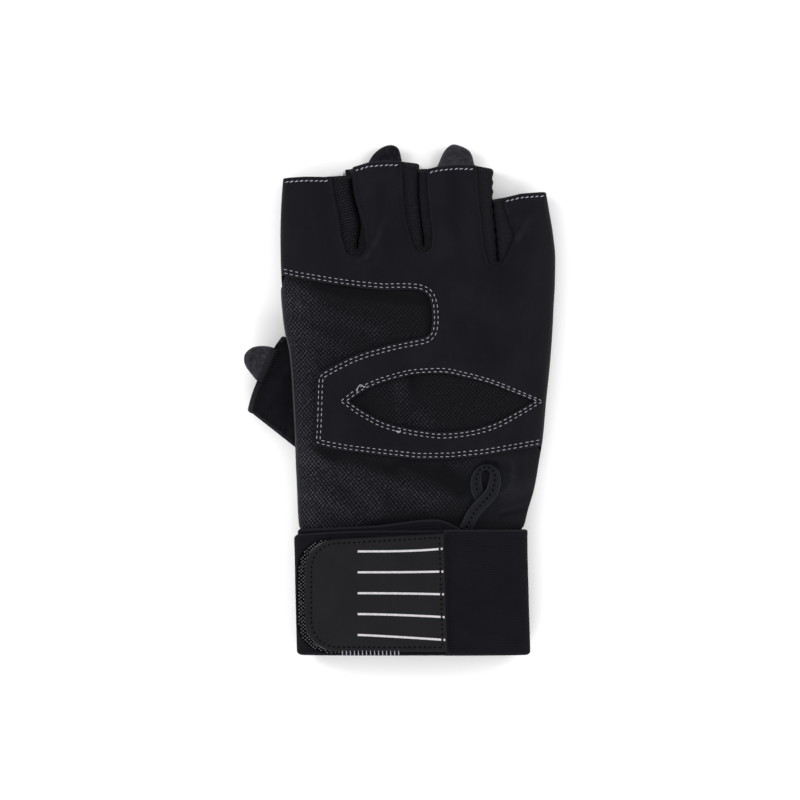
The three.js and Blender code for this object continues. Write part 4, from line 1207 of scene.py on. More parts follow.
def make_thumb():
    sleeve = thumb_tube("thumb_tube", 0, 0)
    cut_away(sleeve, thumb_tube("bore", -SLEEVE_WALL, THUMB_WIDTH / 6))
    cut_away(sleeve, body_cavity())
    mesh = sleeve.data
    co = np.zeros(len(mesh.vertices) * 3)
    mesh.vertices.foreach_get("co", co)
    co = co.reshape(-1, 3) * 1000 - SHIFT
    out, aside = thumb_local(co[:, 0], co[:, 1])
    attribute = mesh.attributes.get("cloth") or mesh.attributes.new("cloth", "FLOAT_VECTOR", "POINT")
    attribute.data.foreach_set("vector", np.c_[out, aside, co[:, 2]].astype(np.float32).ravel())
    mesh.polygons.foreach_set("use_smooth", np.ones(len(mesh.polygons), bool))
    mesh.set_sharp_from_angle(angle=math.radians(40))
    return sleeve


EDGE_IN_SIGHT = ((98, 176), (8, 34))  # parts of the sleeve's open edge, in degrees round it
EDGE_PITCH = 3.2  # degrees from stitch to stitch
EDGE_REACH = 2.1  # how far the stitches reach in from the edge


def thumb_overcast():
    """Overcast stitches round the sleeve's open edge, where it shows."""
    turn = np.radians(np.concatenate([np.arange(*ends, EDGE_PITCH) for ends in EDGE_IN_SIGHT]))
    outer = thumb_ring(0.15, turn, 0.05)
    inner = thumb_ring(-EDGE_REACH, turn + 0.03, 0.05)
    middle = thumb_ring(-0.8, turn, 0)
    normals = middle - thumb_ring(-0.8, turn, -1)
    return stitches(outer, inner, normals, thread=0.26, rise=0.2)


SLEEVE_SEAM = 157  # where the seam runs, in degrees round the sleeve
SLEEVE_SEAM_ENDS = (-0.6, -22)  # distances out from the sleeve's open end


def thumb_seam():
    """The raised seam along the sleeve's wrist side."""
    out = np.linspace(*SLEEVE_SEAM_ENDS, 60)
    turn = np.radians(SLEEVE_SEAM + 2 * np.sin(out * 1.7))
    path = np.concatenate([thumb_ring(at, np.array([way]), 0.12) for at, way in zip(out, turn)])
    return strand(path, UP, width=0.32, height=0.26, sides=8)


def thumb_inside(points, grow):
    """Whether points lie in the thumb's form, grown."""
    out, aside = thumb_local(points[..., 0], points[..., 1])
    straight = THUMB_LENGTH - THUMB_ROOT
    half = THUMB_WIDTH / 2 - np.minimum(out, 0) * math.tan(THUMB_FLARE) + grow
    deep = np.clip((-out - straight) / (THUMB_ROOT + grow), 0, 1)
    half = np.maximum(half * np.sqrt(1 - deep ** 2), 1e-3)
    up = (points[..., 2] - THUMB_HEIGHT / 2) / (THUMB_HEIGHT / 2 + grow)
    form = np.abs(aside / half) ** THUMB_ROUNDING + np.abs(up) ** THUMB_ROUNDING
    return (form < 1) & (out < THUMB_BOW) & (-out < THUMB_LENGTH + grow)


def thumb_hole():
    """The thumb's hole in the back sheet, in that sheet's own coordinates."""
    inner = np.array(THUMB_END) - OUTWARD * (THUMB_LENGTH - THUMB_ROOT - 3)
    centre = to_back(inner[None])[0]
    loop = []
    for way in polar(np.linspace(0, 2 * math.pi, 120, endpoint=False)):
        low, high = 0.0, 45.0
        for _ in range(26):
            middle = (low + high) / 2
            spot = centre + way * middle
            beyond = abs(spot[0]) > TURN_LENGTH * 0.97
            if not beyond and thumb_inside(from_back(spot[None], -BACK_WALL / 2)[0], PLY_GAP):
                low = middle
            else:
                high = middle
        loop.append(centre + way * low)
    return np.array(loop)


def make_back():
    folds = [fold for name, line, fold in gaps]
    cuff = CUFF_EDGE * HAND_LENGTH
    bottom = resample([(1.3 * HALF, cuff), (-1.3 * HALF, cuff)], 1.0)
    outline = fingers_outline(folds, bottom)

    def place(domain, depth):
        return from_back(domain, -BACK_WALL * depth)

    return cut_sheet("back_sheet", [to_back(outline), thumb_hole()], place, 1.4)


# Side walls between the fingers

def gusset_surface(line, fold, lean, waves):
    """The length and the place() of a side wall, which bulges from the leather's edge to the fold.

    lean moves the line where its two legs meet towards the little finger, and waves are its wrinkles.
    """
    run = np.linspace(0, 1, len(line))
    length = float(np.hypot(*np.diff(line, axis=0).T).sum())
    fold_way, line_way = (-sideways_of(smooth_line(points, 2)) for points in (fold, line))
    crotch = line[:, 1].min()

    def read(points, share):
        return np.stack([np.interp(share, run, points[:, k]) for k in (0, 1)], -1)

    def place(a, b, depth):
        share = (a / length).ravel()
        level = (b / GUSSET_DEPTH).ravel()
        inwards = GUSSET_LAP + (1 - depth.ravel()) * GUSSET_WALL
        into = read(fold_way, share)
        low = read(fold, share) + into * inwards[:, None]
        high = read(line, share) + read(line_way, share) * inwards[:, None]
        meeting = lean * smoothstep(low[:, 1] - crotch, 3, 14) * smoothstep(level, 0.05, 0.4)
        low[:, 0] += meeting
        plan = low + (high - low) * (level ** GUSSET_CROWN)[:, None]
        pinch = smoothstep(level, 0.0, 0.12) * (1 - smoothstep(level, 0.55, 0.95))
        plan = plan - into * (pinch * (GUSSET_LAP + SLIT_WIDTH / 2 + 0.06))[:, None]
        wave = np.sin(share * length * 1.9 + 2.2 * np.sin(share * 11) + level * 3.0)
        ripple = waves * wave * np.sin(math.pi * level) ** 2
        plan = plan + into * (0.6 * ripple)[:, None]
        along = plan[:, 1] / HAND_LENGTH
        floor_height = foot_at(along) + BACK_WALL + PLY_GAP
        roof = front_height(plan[:, 0], along, 0)
        z = floor_height + (roof - floor_height) * np.sin(level * math.pi / 2) ** 0.9 + ripple
        return np.c_[plan, z].reshape(*a.shape, 3)

    return length, place


def make_gusset(name, length, place, closed):
    def cloth_of(top, b):
        return np.stack([run_over(top, 0), run_over(top, 1), closed + 0 * b], -1)

    across = eased(0, GUSSET_DEPTH, 44, 0.45)
    return strip(name, eased(0, length, 150, 0.45), across, place, radius=0.45, cloth_of=cloth_of)


def gusset_overcast(length, place):
    """Overcast stitches over the upper part of both open ends of a side wall."""
    level = np.linspace(0.3, 1, 16) * GUSSET_DEPTH
    ones = np.ones_like(level)
    parts = []
    for end, inner in ((0.1, 1.5), (length - 0.1, length - 1.5)):
        edge, inside_edge = (place(at * ones, level, ones) for at in (end, inner))
        normals = inside_edge - place(inner * ones, level, 0 * ones)
        parts.append(stitches(edge, inside_edge, normals, thread=0.22, rise=0.22))
    return parts


# Wrap, hook patch, flap and stripes

CUFF_HALF = 0.77 * HALF  # about half the cuff's width


def wrap_corner(side):
    """How far the wrap's edges draw in where it turns round the cuff's sides."""
    edge = np.clip((np.abs(side) * CUFF_HALF - (CUFF_HALF - WRAP_CORNER)) / WRAP_CORNER, 0, 1)
    return WRAP_CORNER * 0.75 * (1 - np.sqrt(np.maximum(0, 1 - edge ** 2)))


def wrap_point(along, turn, offset):
    """Points of the wrap, which goes round front and back by turns."""
    half = np.floor(turn)
    share = turn - half
    front = front_point(along, 1 - 2 * share, offset, 0)
    back = back_point(along, 2 * share - 1, offset, 0)
    return np.where((half % 2 == 0)[..., None], front, back)


def make_wrap():
    def place(a, b, depth):
        turn = WRAP_START + a / HALF_TURN
        share = b / WRAP_WIDTH
        width = WRAP_WIDTH * (1 + wrap_lift(turn))
        side = np.sin((np.abs((turn % 1) * 2 - 1)) * math.pi / 2)
        pull = wrap_corner(side)
        y = pull + share * (width - 2 * pull)
        ripple = 0.12 * np.sin(turn * 19.0 + share * 2.0) * bell(share, 1, 0.12)
        offset = wrap_offset(turn) + WRAP_WALL * depth + ripple * (turn > HOOK_TURN)
        return wrap_point(y / HAND_LENGTH, turn, offset)

    run = eased(0, (WRAP_END - WRAP_START) * HALF_TURN, 420, 0.5)
    return strip("elastic_wrap", run, eased(0, WRAP_WIDTH, 56, 0.5), place, radius=0.55)


HOOK_OFFSET = wrap_offset(HOOK_TURN) + WRAP_WALL + PLY_GAP
FLAP_OFFSET = wrap_offset(WRAP_END) + WRAP_WALL + PLY_GAP


def round_end(left, right, low, high, rise=0, slant=0, corner=FLAP_CORNER):
    """A plan outline with two round corners on the thumb side, and a sewn side that may slant."""
    upper = np.linspace(math.pi / 2, math.pi, 24)
    lower = np.linspace(math.pi, 1.5 * math.pi, 24)
    return np.r_[
        [(right, low), (right - slant, high + rise)],
        (left + corner, high - corner) + corner * polar(upper),
        (left + corner, low + corner) + corner * polar(lower),
    ]


def flap_outline(inset=0.0):
    left = FLAP_LEFT + FLAP_TRIM + inset
    low, high = FLAP_LOW + inset, FLAP_HIGH - inset
    return round_end(left, FLAP_RIGHT - inset, low, high, FLAP_RISE, FLAP_SLANT, FLAP_CORNER - inset)


def flap_seam():
    """The dark line of sewing inside the flap's edge, from the sewn side round its end and back."""
    return resample(closed_line(flap_outline(FLAP_SEAM)), 0.4)


FLAP_ROLL = 0.12  # height of the roll inside the flap's edge
FLAP_FURROW = 0.2  # depth of the furrow along its sewing
FLAP_WAVE = 0.12  # height of its soft waves


def flap_relief(x, y):
    """Height of the flap's edge, sewing and waves."""
    plan = np.stack([x, y], -1).reshape(-1, 2)
    rim = distance_to(plan, [closed_line(flap_outline())])
    sewn = distance_to(plan, [flap_seam()])
    relief = FLAP_ROLL * bell(rim, 0.7, 0.4) - FLAP_FURROW * bell(sewn, 0, 0.45)
    wave = FLAP_WAVE * np.sin(x * 0.16 + 1.0) * np.sin(y * 0.2 + 0.4)
    return relief.reshape(np.shape(x)) + wave


def flap_top(x, y):
    return front_height(x, y / HAND_LENGTH, FLAP_OFFSET + FLAP_WALL, 0) + flap_relief(x, y)


def make_flap():
    def place(domain, depth):
        points = from_front(domain, FLAP_OFFSET + FLAP_WALL * depth, 0)
        points[:, 2] += flap_relief(points[:, 0], points[:, 1])
        return points

    extra = [to_front(line, FLAP_OFFSET) for line in rows_beside([flap_seam()])]
    outline = to_front(flap_outline(), FLAP_OFFSET)
    return cut_sheet("flap_sheet", [outline], place, 0.9, rows=(0.8, 1.1), extra=extra)


HOOK_LEFT = FLAP_LEFT - HOOK_MARGIN
hook_outline = round_end(HOOK_LEFT + HOOK_TRIM, HOOK_LEFT + HOOK_LENGTH, HOOK_LOW, FLAP_HIGH)


def make_hook_patch():
    def place(domain, depth):
        return from_front(domain, HOOK_OFFSET + HOOK_WALL * depth, 0)

    return cut_sheet("hook_sheet", [to_front(hook_outline, HOOK_OFFSET)], place, 1.2, radius=0.35)


def hook_top(x, y):
    return front_height(x, y / HAND_LENGTH, HOOK_OFFSET + HOOK_WALL, 0)


HOOKS_WIDE = 20  # width of the patch that holds hooks, the rest lies below the flap
HOOKS_FREE = 0.25  # left free of hooks at the patch's edge
HOOKS_SPREAD = 0.07  # how uneven they stand


def hook_rows(odd):
    """Every other row of the patch's hooks, as far as the flap leaves them in sight."""
    low, high = hook_outline.min(0) + 0.35, hook_outline.max(0)
    rows = np.arange(low[1], high[1], HOOK_ROWS)[odd::2]
    columns = np.arange(low[0], low[0] + HOOKS_WIDE, 2 * HOOK_COLUMNS) + odd * HOOK_COLUMNS
    dots = np.array([(x, y) for y in rows for x in columns])
    dots = dots[inside(dots, hook_outline) & ~inside(dots, flap_outline(1.0))]
    dots = dots[distance_to(dots, [closed_line(hook_outline)]) > HOOKS_FREE]
    dots = dots + np.random.default_rng(15 + odd).normal(0, HOOKS_SPREAD, dots.shape)
    aside = np.random.default_rng(5 + odd).normal(0, 0.06, (len(dots), 1))
    way = np.c_[0.28 + 0.5 * aside, aside]
    starts, ends = (np.c_[spots, hook_top(*spots.T)] for spots in (dots - way, dots + way))
    return stitches(starts, ends, surface_normal(hook_top, *dots.T), thread=0.3, rise=0.3)


# The white bars at the wrap's lower edge: where they start and stop, their pitch, and their ends.
BARS_FROM = -30.4
BARS_TO = -7.0
BAR_PITCH = 1.6
BAR_HIGH = 2.3
BAR_LOW = -0.1


def edge_bars():
    """The white bars of the sewing that closes the wrap's lower edge below the flap."""
    x = np.arange(BARS_FROM, BARS_TO, BAR_PITCH)
    height = flap_top(x, BAR_HIGH + 0 * x)
    starts = np.c_[x, BAR_HIGH + 0 * x, height]
    ends = np.c_[x + 0.15, BAR_LOW + 0 * x, height - 2.4]
    return stitches(starts, ends, np.array([0.0, -0.45, 0.9]), thread=0.2, rise=0.7)


def make_stripe(number):
    right = FLAP_RIGHT - STRIPE_WIDTH / 2
    seam = FLAP_RIGHT - FLAP_SEAM
    centre = FLAP_LOW + 0.52 * FLAP_WIDTH
    middle = (STRIPE_COUNT - 1) / 2

    def place(a, b, depth):
        share = (a / STRIPE_LENGTH) ** (3 - 0.45 * number)
        fan = (middle - number) * STRIPE_FAN - STRIPE_DROP
        y = centre + (middle - number) * STRIPE_PITCH + fan * share + b
        lean = FLAP_SLANT * (y - FLAP_LOW) / FLAP_WIDTH
        x = right - STRIPE_LENGTH + a * (1 - lean / STRIPE_LENGTH)
        sewn = np.exp(-(((x - seam + lean) / 0.36) ** 4))
        return np.stack([x, y, flap_top(x, y) + 0.02 + STRIPE_WALL * depth - STRIPE_DIP * sewn], -1)

    half = 0.43 * STRIPE_WIDTH
    run = eased(0, STRIPE_LENGTH, 150, 0.25)
    return strip(f"line_{number + 1}", run, eased(-half, half, 5, 0.2), place, radius=0.2)


# Tabs and the pull loop

def make_tab(name, tab, root, outward, height_at, lap=TAB_LAP):
    """A rounded tongue. height_at gives its underside from the distances out and across."""
    width, reach, outline = tab
    half = width * TAB_WIDTH / 2
    aside = np.array([outward[1], -outward[0]])
    left = [(out * reach * TAB_REACH, side * half) for out, side, other in outline]
    right = [(out * reach * TAB_REACH, side * half) for out, other, side in outline]
    loop = smooth_line(resample([(-lap, -half), *left, *right[::-1], (-lap, half)], 0.4), 10)

    def place(domain, depth):
        plan = root + domain[:, :1] * outward + domain[:, 1:2] * aside
        return np.c_[plan, height_at(domain[:, 0], domain[:, 1]) + TAB_WALL * depth]

    return cut_sheet(name, [loop], place, 0.6)


def finger_tab_height(out, aside):
    curl = TAB_CURL * np.clip(out / TAB_REACH, 0, 1) ** 2
    return BACK_WALL + PLY_GAP + curl + 0.006 * aside ** 2


def make_finger_tab(name, tab, root):
    return make_tab(name, tab, plan_of([root])[0], np.array([0.0, 1.0]), finger_tab_height)


THUMB_TAB_ROOT = np.array(THUMB_END) + THUMB_TAB_SHIFT * ACROSS + THUMB_BOW * OUTWARD


def thumb_tab_height(out, aside):
    half = THUMB_WIDTH / 2 + TAB_LAP * math.tan(THUMB_FLARE) + PLY_GAP
    share = np.clip(np.abs((THUMB_TAB_SHIFT + aside) / half), 0, 1)
    roof = (THUMB_HEIGHT / 2 + PLY_GAP) * (1 - share ** THUMB_ROUNDING) ** (1 / THUMB_ROUNDING)
    wave = 0.25 * np.sin(0.9 * aside + 0.4 * out) * smoothstep(out, 0, 4)
    return THUMB_HEIGHT / 2 + roof - thumb_sag(share) + 0.25 + wave


def thumb_tab_row(first, last, shift):
    """A row of stitches that holds the thumb's tab on the sleeve, from the distance first to last."""
    aside = np.arange(-6.9, 7.1, 1.15) + shift
    starts, ends = (
        np.c_[
            THUMB_TAB_ROOT + out * OUTWARD + aside[:, None] * ACROSS,
            thumb_tab_height(out, aside) + (TAB_WALL if out > -THUMB_LAP else 0.0),
        ]
        for out in (first, last)
    )
    return stitches(starts, ends, UP, thread=0.19, rise=0.2)


def catmull(values, count):
    """The uniform Catmull-Rom curve through rows of values, count samples."""
    values = np.array(values, float)
    padded = np.r_[[2 * values[0] - values[1]], values, [2 * values[-1] - values[-2]]]
    t = np.linspace(0, len(values) - 1, count)
    i = np.minimum(t.astype(int), len(values) - 2)
    f = (t - i)[:, None]
    p0, p1, p2, p3 = (padded[i + k] for k in range(4))
    square = (2 * p0 - 5 * p1 + 4 * p2 - p3) * f ** 2
    cube = (3 * p1 - p0 - 3 * p2 + p3) * f ** 3
    return 0.5 * (2 * p1 + (p2 - p0) * f + square + cube)


LOOP_LINE = catmull(plan_of(LOOP_ROWS), 240)
LOOP_RUN = np.r_[0, np.cumsum(np.hypot(*np.diff(LOOP_LINE[:, :2], axis=0).T))]
LOOP_SIDE = sideways_of(smooth_line(LOOP_LINE[:, :2], 8))


def loop_point(run, aside, rise_by):
    """Points at a distance along the pull loop and beside its middle line."""
    centre = [np.interp(run, LOOP_RUN, LOOP_LINE[:, k]) for k in range(4)]
    way = [np.interp(run, LOOP_RUN, LOOP_SIDE[:, k]) for k in (0, 1)]
    x = centre[0] + way[0] * aside * centre[3]
    y = centre[1] + way[1] * aside * centre[3]
    rise = PLY_GAP + centre[2] * (LOOP_WALL + PLY_GAP)
    return np.stack([x, y, front_height(x, y / HAND_LENGTH, 0) + rise + rise_by], -1)


def make_loop():
    def place(a, b, depth):
        crown = 0.18 * (1 - (2 * b / LOOP_WIDTH) ** 2)
        return loop_point(a, b, LOOP_WALL * depth + crown)

    across = eased(-LOOP_WIDTH / 2, LOOP_WIDTH / 2, 9, 0.4)
    return strip("loop_strip", eased(0, LOOP_RUN[-1], 110, 0.4), across, place, radius=0.45)


def loop_stitches():
    run = np.arange(1.5, LOOP_RUN[-1] - 4, 2.0)
    starts, ends = (loop_point(run + way, 0 * run, LOOP_WALL + 0.2) for way in (-0.5, 0.5))
    return stitches(starts, ends, UP, thread=0.4, rise=0.12)


def tack_stitches():
    lines = [smooth_line(resample(plan_of(line), 0.3), 2) for line in TACKS]
    return sew(lines, mesh_top, pitch=1.25, length=0.9, thread=0.2, rise=0.2, seed=4)


def thread_curl():
    """The loose end of thread beside the eye."""
    x, y, rise = catmull(plan_of(CURL), 40).T
    return strand(np.c_[x, y, sewn_leather(x, y) + rise + 0.1], UP, width=0.19, height=0.19, sides=8)


def thread_knot():
    """Four short strands that cross each other."""
    way = polar(np.radians([-25.0, 35.0, 80.0, 150.0])) * (0.85, 0.51)
    middle = plan_of([KNOT]) + np.array([(-0.5, 0.1), (0.1, -0.2), (0.5, 0.15), (0.0, 0.0)])
    starts, ends = (np.c_[spots, sewn_leather(*spots.T) + 0.1] for spots in (middle - way, middle + way))
    return stitches(starts, ends, UP, thread=0.26, rise=0.45)


def piping():
    """The piping on the thumb side's seam."""
    along = np.linspace(*PIPING, 220)
    path = front_point(along, -1 + 0 * along, 0.1, 0)
    path[:, 2] += 0.25
    return strand(path, UP, width=0.55, height=0.55, sides=12)


# Materials

class Paint:
    """One node material with a principled shader, and short calls for its nodes."""

    def __init__(self, name, color, roughness, specular):
        self.material = bpy.data.materials.new(name)
        self.material.use_nodes = True
        self.tree = self.material.node_tree
        self.shader = self.tree.nodes["Principled BSDF"]
        self.shader.inputs["Base Color"].default_value = (*color, 1)
        self.shader.inputs["Roughness"].default_value = roughness
        self.shader.inputs["Specular IOR Level"].default_value = specular
        cloth = self.node("Attribute")
        cloth.attribute_name = "cloth"
        self.cloth = cloth.outputs["Vector"]
        self.u, self.v, self.edge = self.node("SeparateXYZ", {0: self.cloth}).outputs

    def node(self, kind, inputs=()):
        """A node, with its inputs set or linked by name or number."""
        made = self.tree.nodes.new("ShaderNode" + kind)
        for key in inputs:
            self.feed(made.inputs[key], inputs[key])
        return made

    def feed(self, socket, value):
        if isinstance(value, bpy.types.NodeSocket):
            self.tree.links.new(value, socket)
        else:
            socket.default_value = value

    def math(self, operation, *values):
        made = self.node("Math", dict(enumerate(values)))
        made.operation = operation
        return made.outputs[0]

    def wave(self, value, pitch):
        """A cosine of a coordinate, with its pitch in millimetres."""
        return self.math("COSINE", self.math("MULTIPLY", value, 2 * math.pi / pitch))

    def noise(self, scale, detail=3.0, roughness=0.55):
        """Noise on the cloth's coordinates, scale in bumps a millimetre."""
        inputs = {"Vector": self.cloth, "Scale": scale, "Detail": detail, "Roughness": roughness}
        return self.node("TexNoise", inputs).outputs[0]

    def grain(self, scale, width):
        """Flat cells with furrows between them, width as a share of a cell."""
        made = self.node("TexVoronoi", {"Vector": self.cloth, "Scale": scale})
        made.feature = "DISTANCE_TO_EDGE"
        return self.between(made.outputs["Distance"], 0.0, width, 0, 1)

    def between(self, value, low, high, to_low, to_high):
        """Maps a value from one range to another, smoothly and within its ends."""
        made = self.node("MapRange", dict(enumerate((value, low, high, to_low, to_high))))
        made.interpolation_type = "SMOOTHSTEP"
        return made.outputs[0]

    def color(self, share, low, high):
        """The colour from low to high."""
        made = self.node("Mix")
        made.data_type = "RGBA"
        for key, value in ((0, share), (6, (*low, 1)), (7, (*high, 1))):
            self.feed(made.inputs[key], value)
        self.feed(self.shader.inputs["Base Color"], made.outputs[2])

    def roughness(self, value):
        self.feed(self.shader.inputs["Roughness"], value)

    def bump(self, *heights):
        """Bumps, each a height and its depth in millimetres."""
        normal = None
        for height, depth in heights:
            made = self.node("Bump", {"Strength": 1.0, "Distance": depth / 1000, "Height": height})
            if normal is not None:
                self.feed(made.inputs["Normal"], normal)
            normal = made.outputs[0]
        self.feed(self.shader.inputs["Normal"], normal)


def leather_paint():
    """Smooth leather with a fine grain, with painted highlights along its rounded edges and on the
    ridges of its creases.
    """
    paint = Paint("leather", (0.0046, 0.0043, 0.0064), 0.5, 0.04)
    soft = paint.noise(0.05)
    # Painted highlight along the leather's rounded edges, as if they caught the light.
    turned = paint.between(paint.edge, 0.15, 0.75, 1, 0)
    share = paint.math("MULTIPLY_ADD", turned, 0.25, paint.between(soft, 0.3, 0.7, 0, 0.16))
    # Painted highlight on the ridges of the creases, broken into patches by noise.
    crease_highlight = paint.between(paint.edge, CREASE_LIGHT_FROM, CREASE_LIGHT_AT, 0, 0.34)
    patches = paint.between(paint.noise(0.25, 2.0), 0.3, 0.6, 0.3, 1)
    share = paint.math("MULTIPLY_ADD", crease_highlight, patches, share)
    paint.color(share, (0.004, 0.0037, 0.0056), (0.017, 0.0162, 0.02))
    paint.roughness(paint.between(soft, 0.25, 0.75, 0.44, 0.56))
    paint.bump((paint.grain(2.2, 0.25), 0.03), (paint.noise(5.0, 4.0), 0.03))
    return paint.material


# The mesh: pitch of its dots round the glove and along it, for the palm's sheet and the side walls.
PALM_MESH = (1.68, 1.76)
SIDE_MESH = (1.1, 2.2)
SIDE_TONE = 0.2


def palm_closed(paint):
    """How far the palm's holes are closed: where its painted shade is deep, and at the wrist's far side.
    """
    across = paint.between(paint.u, 8, 28, 0, 0.9)
    far_side = paint.math("MULTIPLY", across, paint.between(paint.v, 76, 90, 1, 0))
    return paint.math("MAXIMUM", paint.between(paint.edge, 0.04, 0.17, 0.78, 0.1), far_side)


def mesh_paint(name, palm):
    """Open knitted mesh: raised dots of yarn in a diamond lattice, with dark holes between.

    The cloth's third coordinate is the painted light and shade of the palm's sheet, and how far the
    holes are closed on a side wall.
    """
    paint = Paint(name, (0.006, 0.0056, 0.0076), 0.75, 0.04)
    pitch, rows = PALM_MESH if palm else SIDE_MESH
    pull = paint.noise(0.35, 2.0)
    u = paint.math("MULTIPLY_ADD", pull, pitch, paint.u)
    v = paint.math("MULTIPLY_ADD", pull, -0.8 * pitch, paint.v)
    lattice = paint.math("MULTIPLY", paint.wave(u, pitch), paint.wave(v, rows))
    shaded_tone, closed = (paint.edge, palm_closed(paint)) if palm else (SIDE_TONE, paint.edge)
    dots = paint.between(lattice, -0.5, 0.85, 0, 1)
    dots = paint.math("MULTIPLY_ADD", closed, paint.math("SUBTRACT", 0.37, dots), dots)
    yarn = paint.between(paint.noise(1.1, 4.0), 0.3, 0.7, 0.3, 1.05)
    yarn = paint.math("MULTIPLY_ADD", closed, paint.math("SUBTRACT", 0.7, yarn), yarn)
    # On the palm, the yarn's colour carries the painted light and shade.
    share = paint.math("MULTIPLY", paint.math("MULTIPLY", dots, yarn), shaded_tone)
    paint.color(share, (0.002, 0.0019, 0.0026), (0.1, 0.096, 0.12))
    paint.bump((dots, 0.3), (yarn, 0.06))
    return paint.material


def knit_paint(name, low, high):
    """A plain close knit with fine ribs."""
    paint = Paint(name, high, 0.8, 0.04)
    ribs = paint.math("MULTIPLY", paint.wave(paint.u, 0.9), paint.wave(paint.v, 0.7))
    soft = paint.noise(0.25, 4.0)
    share = paint.math("MULTIPLY_ADD", ribs, 0.25, paint.between(soft, 0.2, 0.8, 0.2, 0.8))
    paint.color(share, low, high)
    paint.bump((ribs, 0.05), (paint.noise(1.5), 0.06))
    return paint.material


def elastic_paint():
    """Elastic with ribs along the band and fine picks across, with a painted highlight along its rounded
    edges.
    """
    paint = Paint("elastic", (0.0046, 0.0042, 0.0062), 0.75, 0.04)
    ribs = paint.wave(paint.v, 1.05)
    picks = paint.wave(paint.u, 0.62)
    weave = paint.math("MULTIPLY_ADD", picks, 0.35, ribs)
    share = paint.math("MULTIPLY_ADD", weave, 0.12, paint.between(paint.noise(0.12), 0.2, 0.8, 0.3, 0.7))
    # Painted highlight along the edges of the plies.
    share = paint.math("MULTIPLY_ADD", share, 0.3, paint.between(paint.edge, 0.3, 1.0, 0.6, 0))
    paint.color(share, (0.003, 0.0028, 0.0042), (0.0137, 0.0128, 0.0169))
    paint.bump((weave, 0.05), (paint.noise(1.8, 2.0), 0.05))
    return paint.material


def suede_paint(name, low, high, root=-9):
    """Brushed suede, with a paler cut edge. Painted shade darkens it where it lies further in than root.
    """
    paint = Paint(name, high, 0.95, 0.05)
    soft = paint.noise(0.45, 5.0, 0.65)
    fibre = paint.noise(3.0, 4.0, 0.7)
    cut = paint.between(paint.edge, 0.5, 1.1, 0.7, 0)
    share = paint.math("MULTIPLY_ADD", cut, fibre, paint.between(soft, 0.3, 0.7, 0, 0.8))
    # Painted shade at the base, further in than root.
    paint.color(paint.math("MULTIPLY", share, paint.between(paint.u, root, root + 3, 0, 1)), low, high)
    paint.bump((fibre, 0.12), (soft, 0.15))
    return paint.material


def flap_paint(name, face, cut, rim, end=None):
    """Smooth leather with a painted highlight along its cut edge over the width rim; if end is given,
    only at u below end, fading out over the next 6 mm.
    """
    paint = Paint(name, face, 0.5, 0.04)
    soft = paint.noise(0.07)
    # Painted highlight where the cut edge catches the light.
    edge = paint.between(paint.edge, 0.1, rim, 1, 0)
    if end is not None:
        edge = paint.math("MULTIPLY", edge, paint.between(paint.u, end, end + 6, 1, 0))
    paint.color(paint.math("ADD", paint.between(soft, 0.3, 0.7, 0, 0.012), edge), face, cut)
    paint.roughness(paint.between(soft, 0.25, 0.75, 0.46, 0.56))
    paint.bump((paint.grain(2.6, 0.2), 0.02), (paint.noise(4.0), 0.03))
    return paint.material


def thread_paint(name, low, high, specular=0.1):
    """Twisted thread: its strands run slantwise round it."""
    paint = Paint(name, high, 0.65, specular)
    slant = paint.math("MULTIPLY_ADD", paint.v, 2.0, paint.u)
    twist = paint.wave(slant, 0.5)
    paint.color(paint.between(twist, -0.6, 0.6, 0, 1), low, high)
    paint.bump((twist, 0.05))
    return paint.material


def print_paint():
    """Raised rubber print, a little uneven."""
    paint = Paint("print", (0.42, 0.4, 0.42), 0.55, 0.2)
    paint.color(paint.between(paint.noise(1.2), 0.3, 0.7, 0, 1), (0.38, 0.36, 0.38), (0.48, 0.46, 0.48))
    paint.bump((paint.noise(3.0), 0.04))
    return paint.material


def hook_paint():
    """The ground of the fastening patch, between its hooks."""
    paint = Paint("hook_tape", (0.0015, 0.0014, 0.0018), 0.8, 0.02)
    lattice = paint.math("MULTIPLY", paint.wave(paint.u, 1.3), paint.wave(paint.v, 1.3))
    share = paint.between(lattice, 0.2, 0.9, 0, 1)
    paint.color(share, (0.0011, 0.001, 0.0014), (0.005, 0.0047, 0.006))
    paint.bump((lattice, 0.12))
    return paint.material


leather = leather_paint()
palm_mesh = mesh_paint("mesh", True)
side_mesh = mesh_paint("side_mesh", False)
back_knit = knit_paint("back_fabric", (0.0022, 0.0021, 0.003), (0.0058, 0.0055, 0.0076))
elastic = elastic_paint()
thumb_suede = suede_paint("thumb_suede", (0.009, 0.0086, 0.0112), (0.033, 0.0315, 0.038), -1.5)
# A brighter copy of the suede for the ring tab: painted light that makes up for the shade the fingers
# cast on it.
lit_suede = suede_paint("suede", (0.024, 0.0228, 0.0285), (0.05, 0.048, 0.057))
dark_suede = suede_paint("dark_suede", (0.006, 0.0057, 0.008), (0.022, 0.0212, 0.026))
# The flap's cut edge gets a painted highlight at its end on the thumb's side, and the loop's gets one
# all round.
flap_leather = flap_paint("flap_leather", (0.0082, 0.0082, 0.0092), (0.14, 0.138, 0.147), 0.55, -47)
loop_leather = flap_paint("loop_leather", (0.0074, 0.0079, 0.0096), (0.0145, 0.015, 0.018), 0.9)
hook_tape = hook_paint()
white_thread = thread_paint("white_thread", (0.23, 0.23, 0.262), (0.44, 0.44, 0.5))
grey_thread = thread_paint("grey_thread", (0.085, 0.083, 0.092), (0.185, 0.181, 0.196))
soft_thread = thread_paint("soft_thread", (0.012, 0.0115, 0.0145), (0.036, 0.035, 0.041), 0.06)
dim_thread = thread_paint("dim_thread", (0.009, 0.0085, 0.011), (0.024, 0.023, 0.028), 0.06)
dark_thread = thread_paint("dark_thread", (0.0008, 0.0008, 0.001), (0.0028, 0.0027, 0.0033), 0.03)
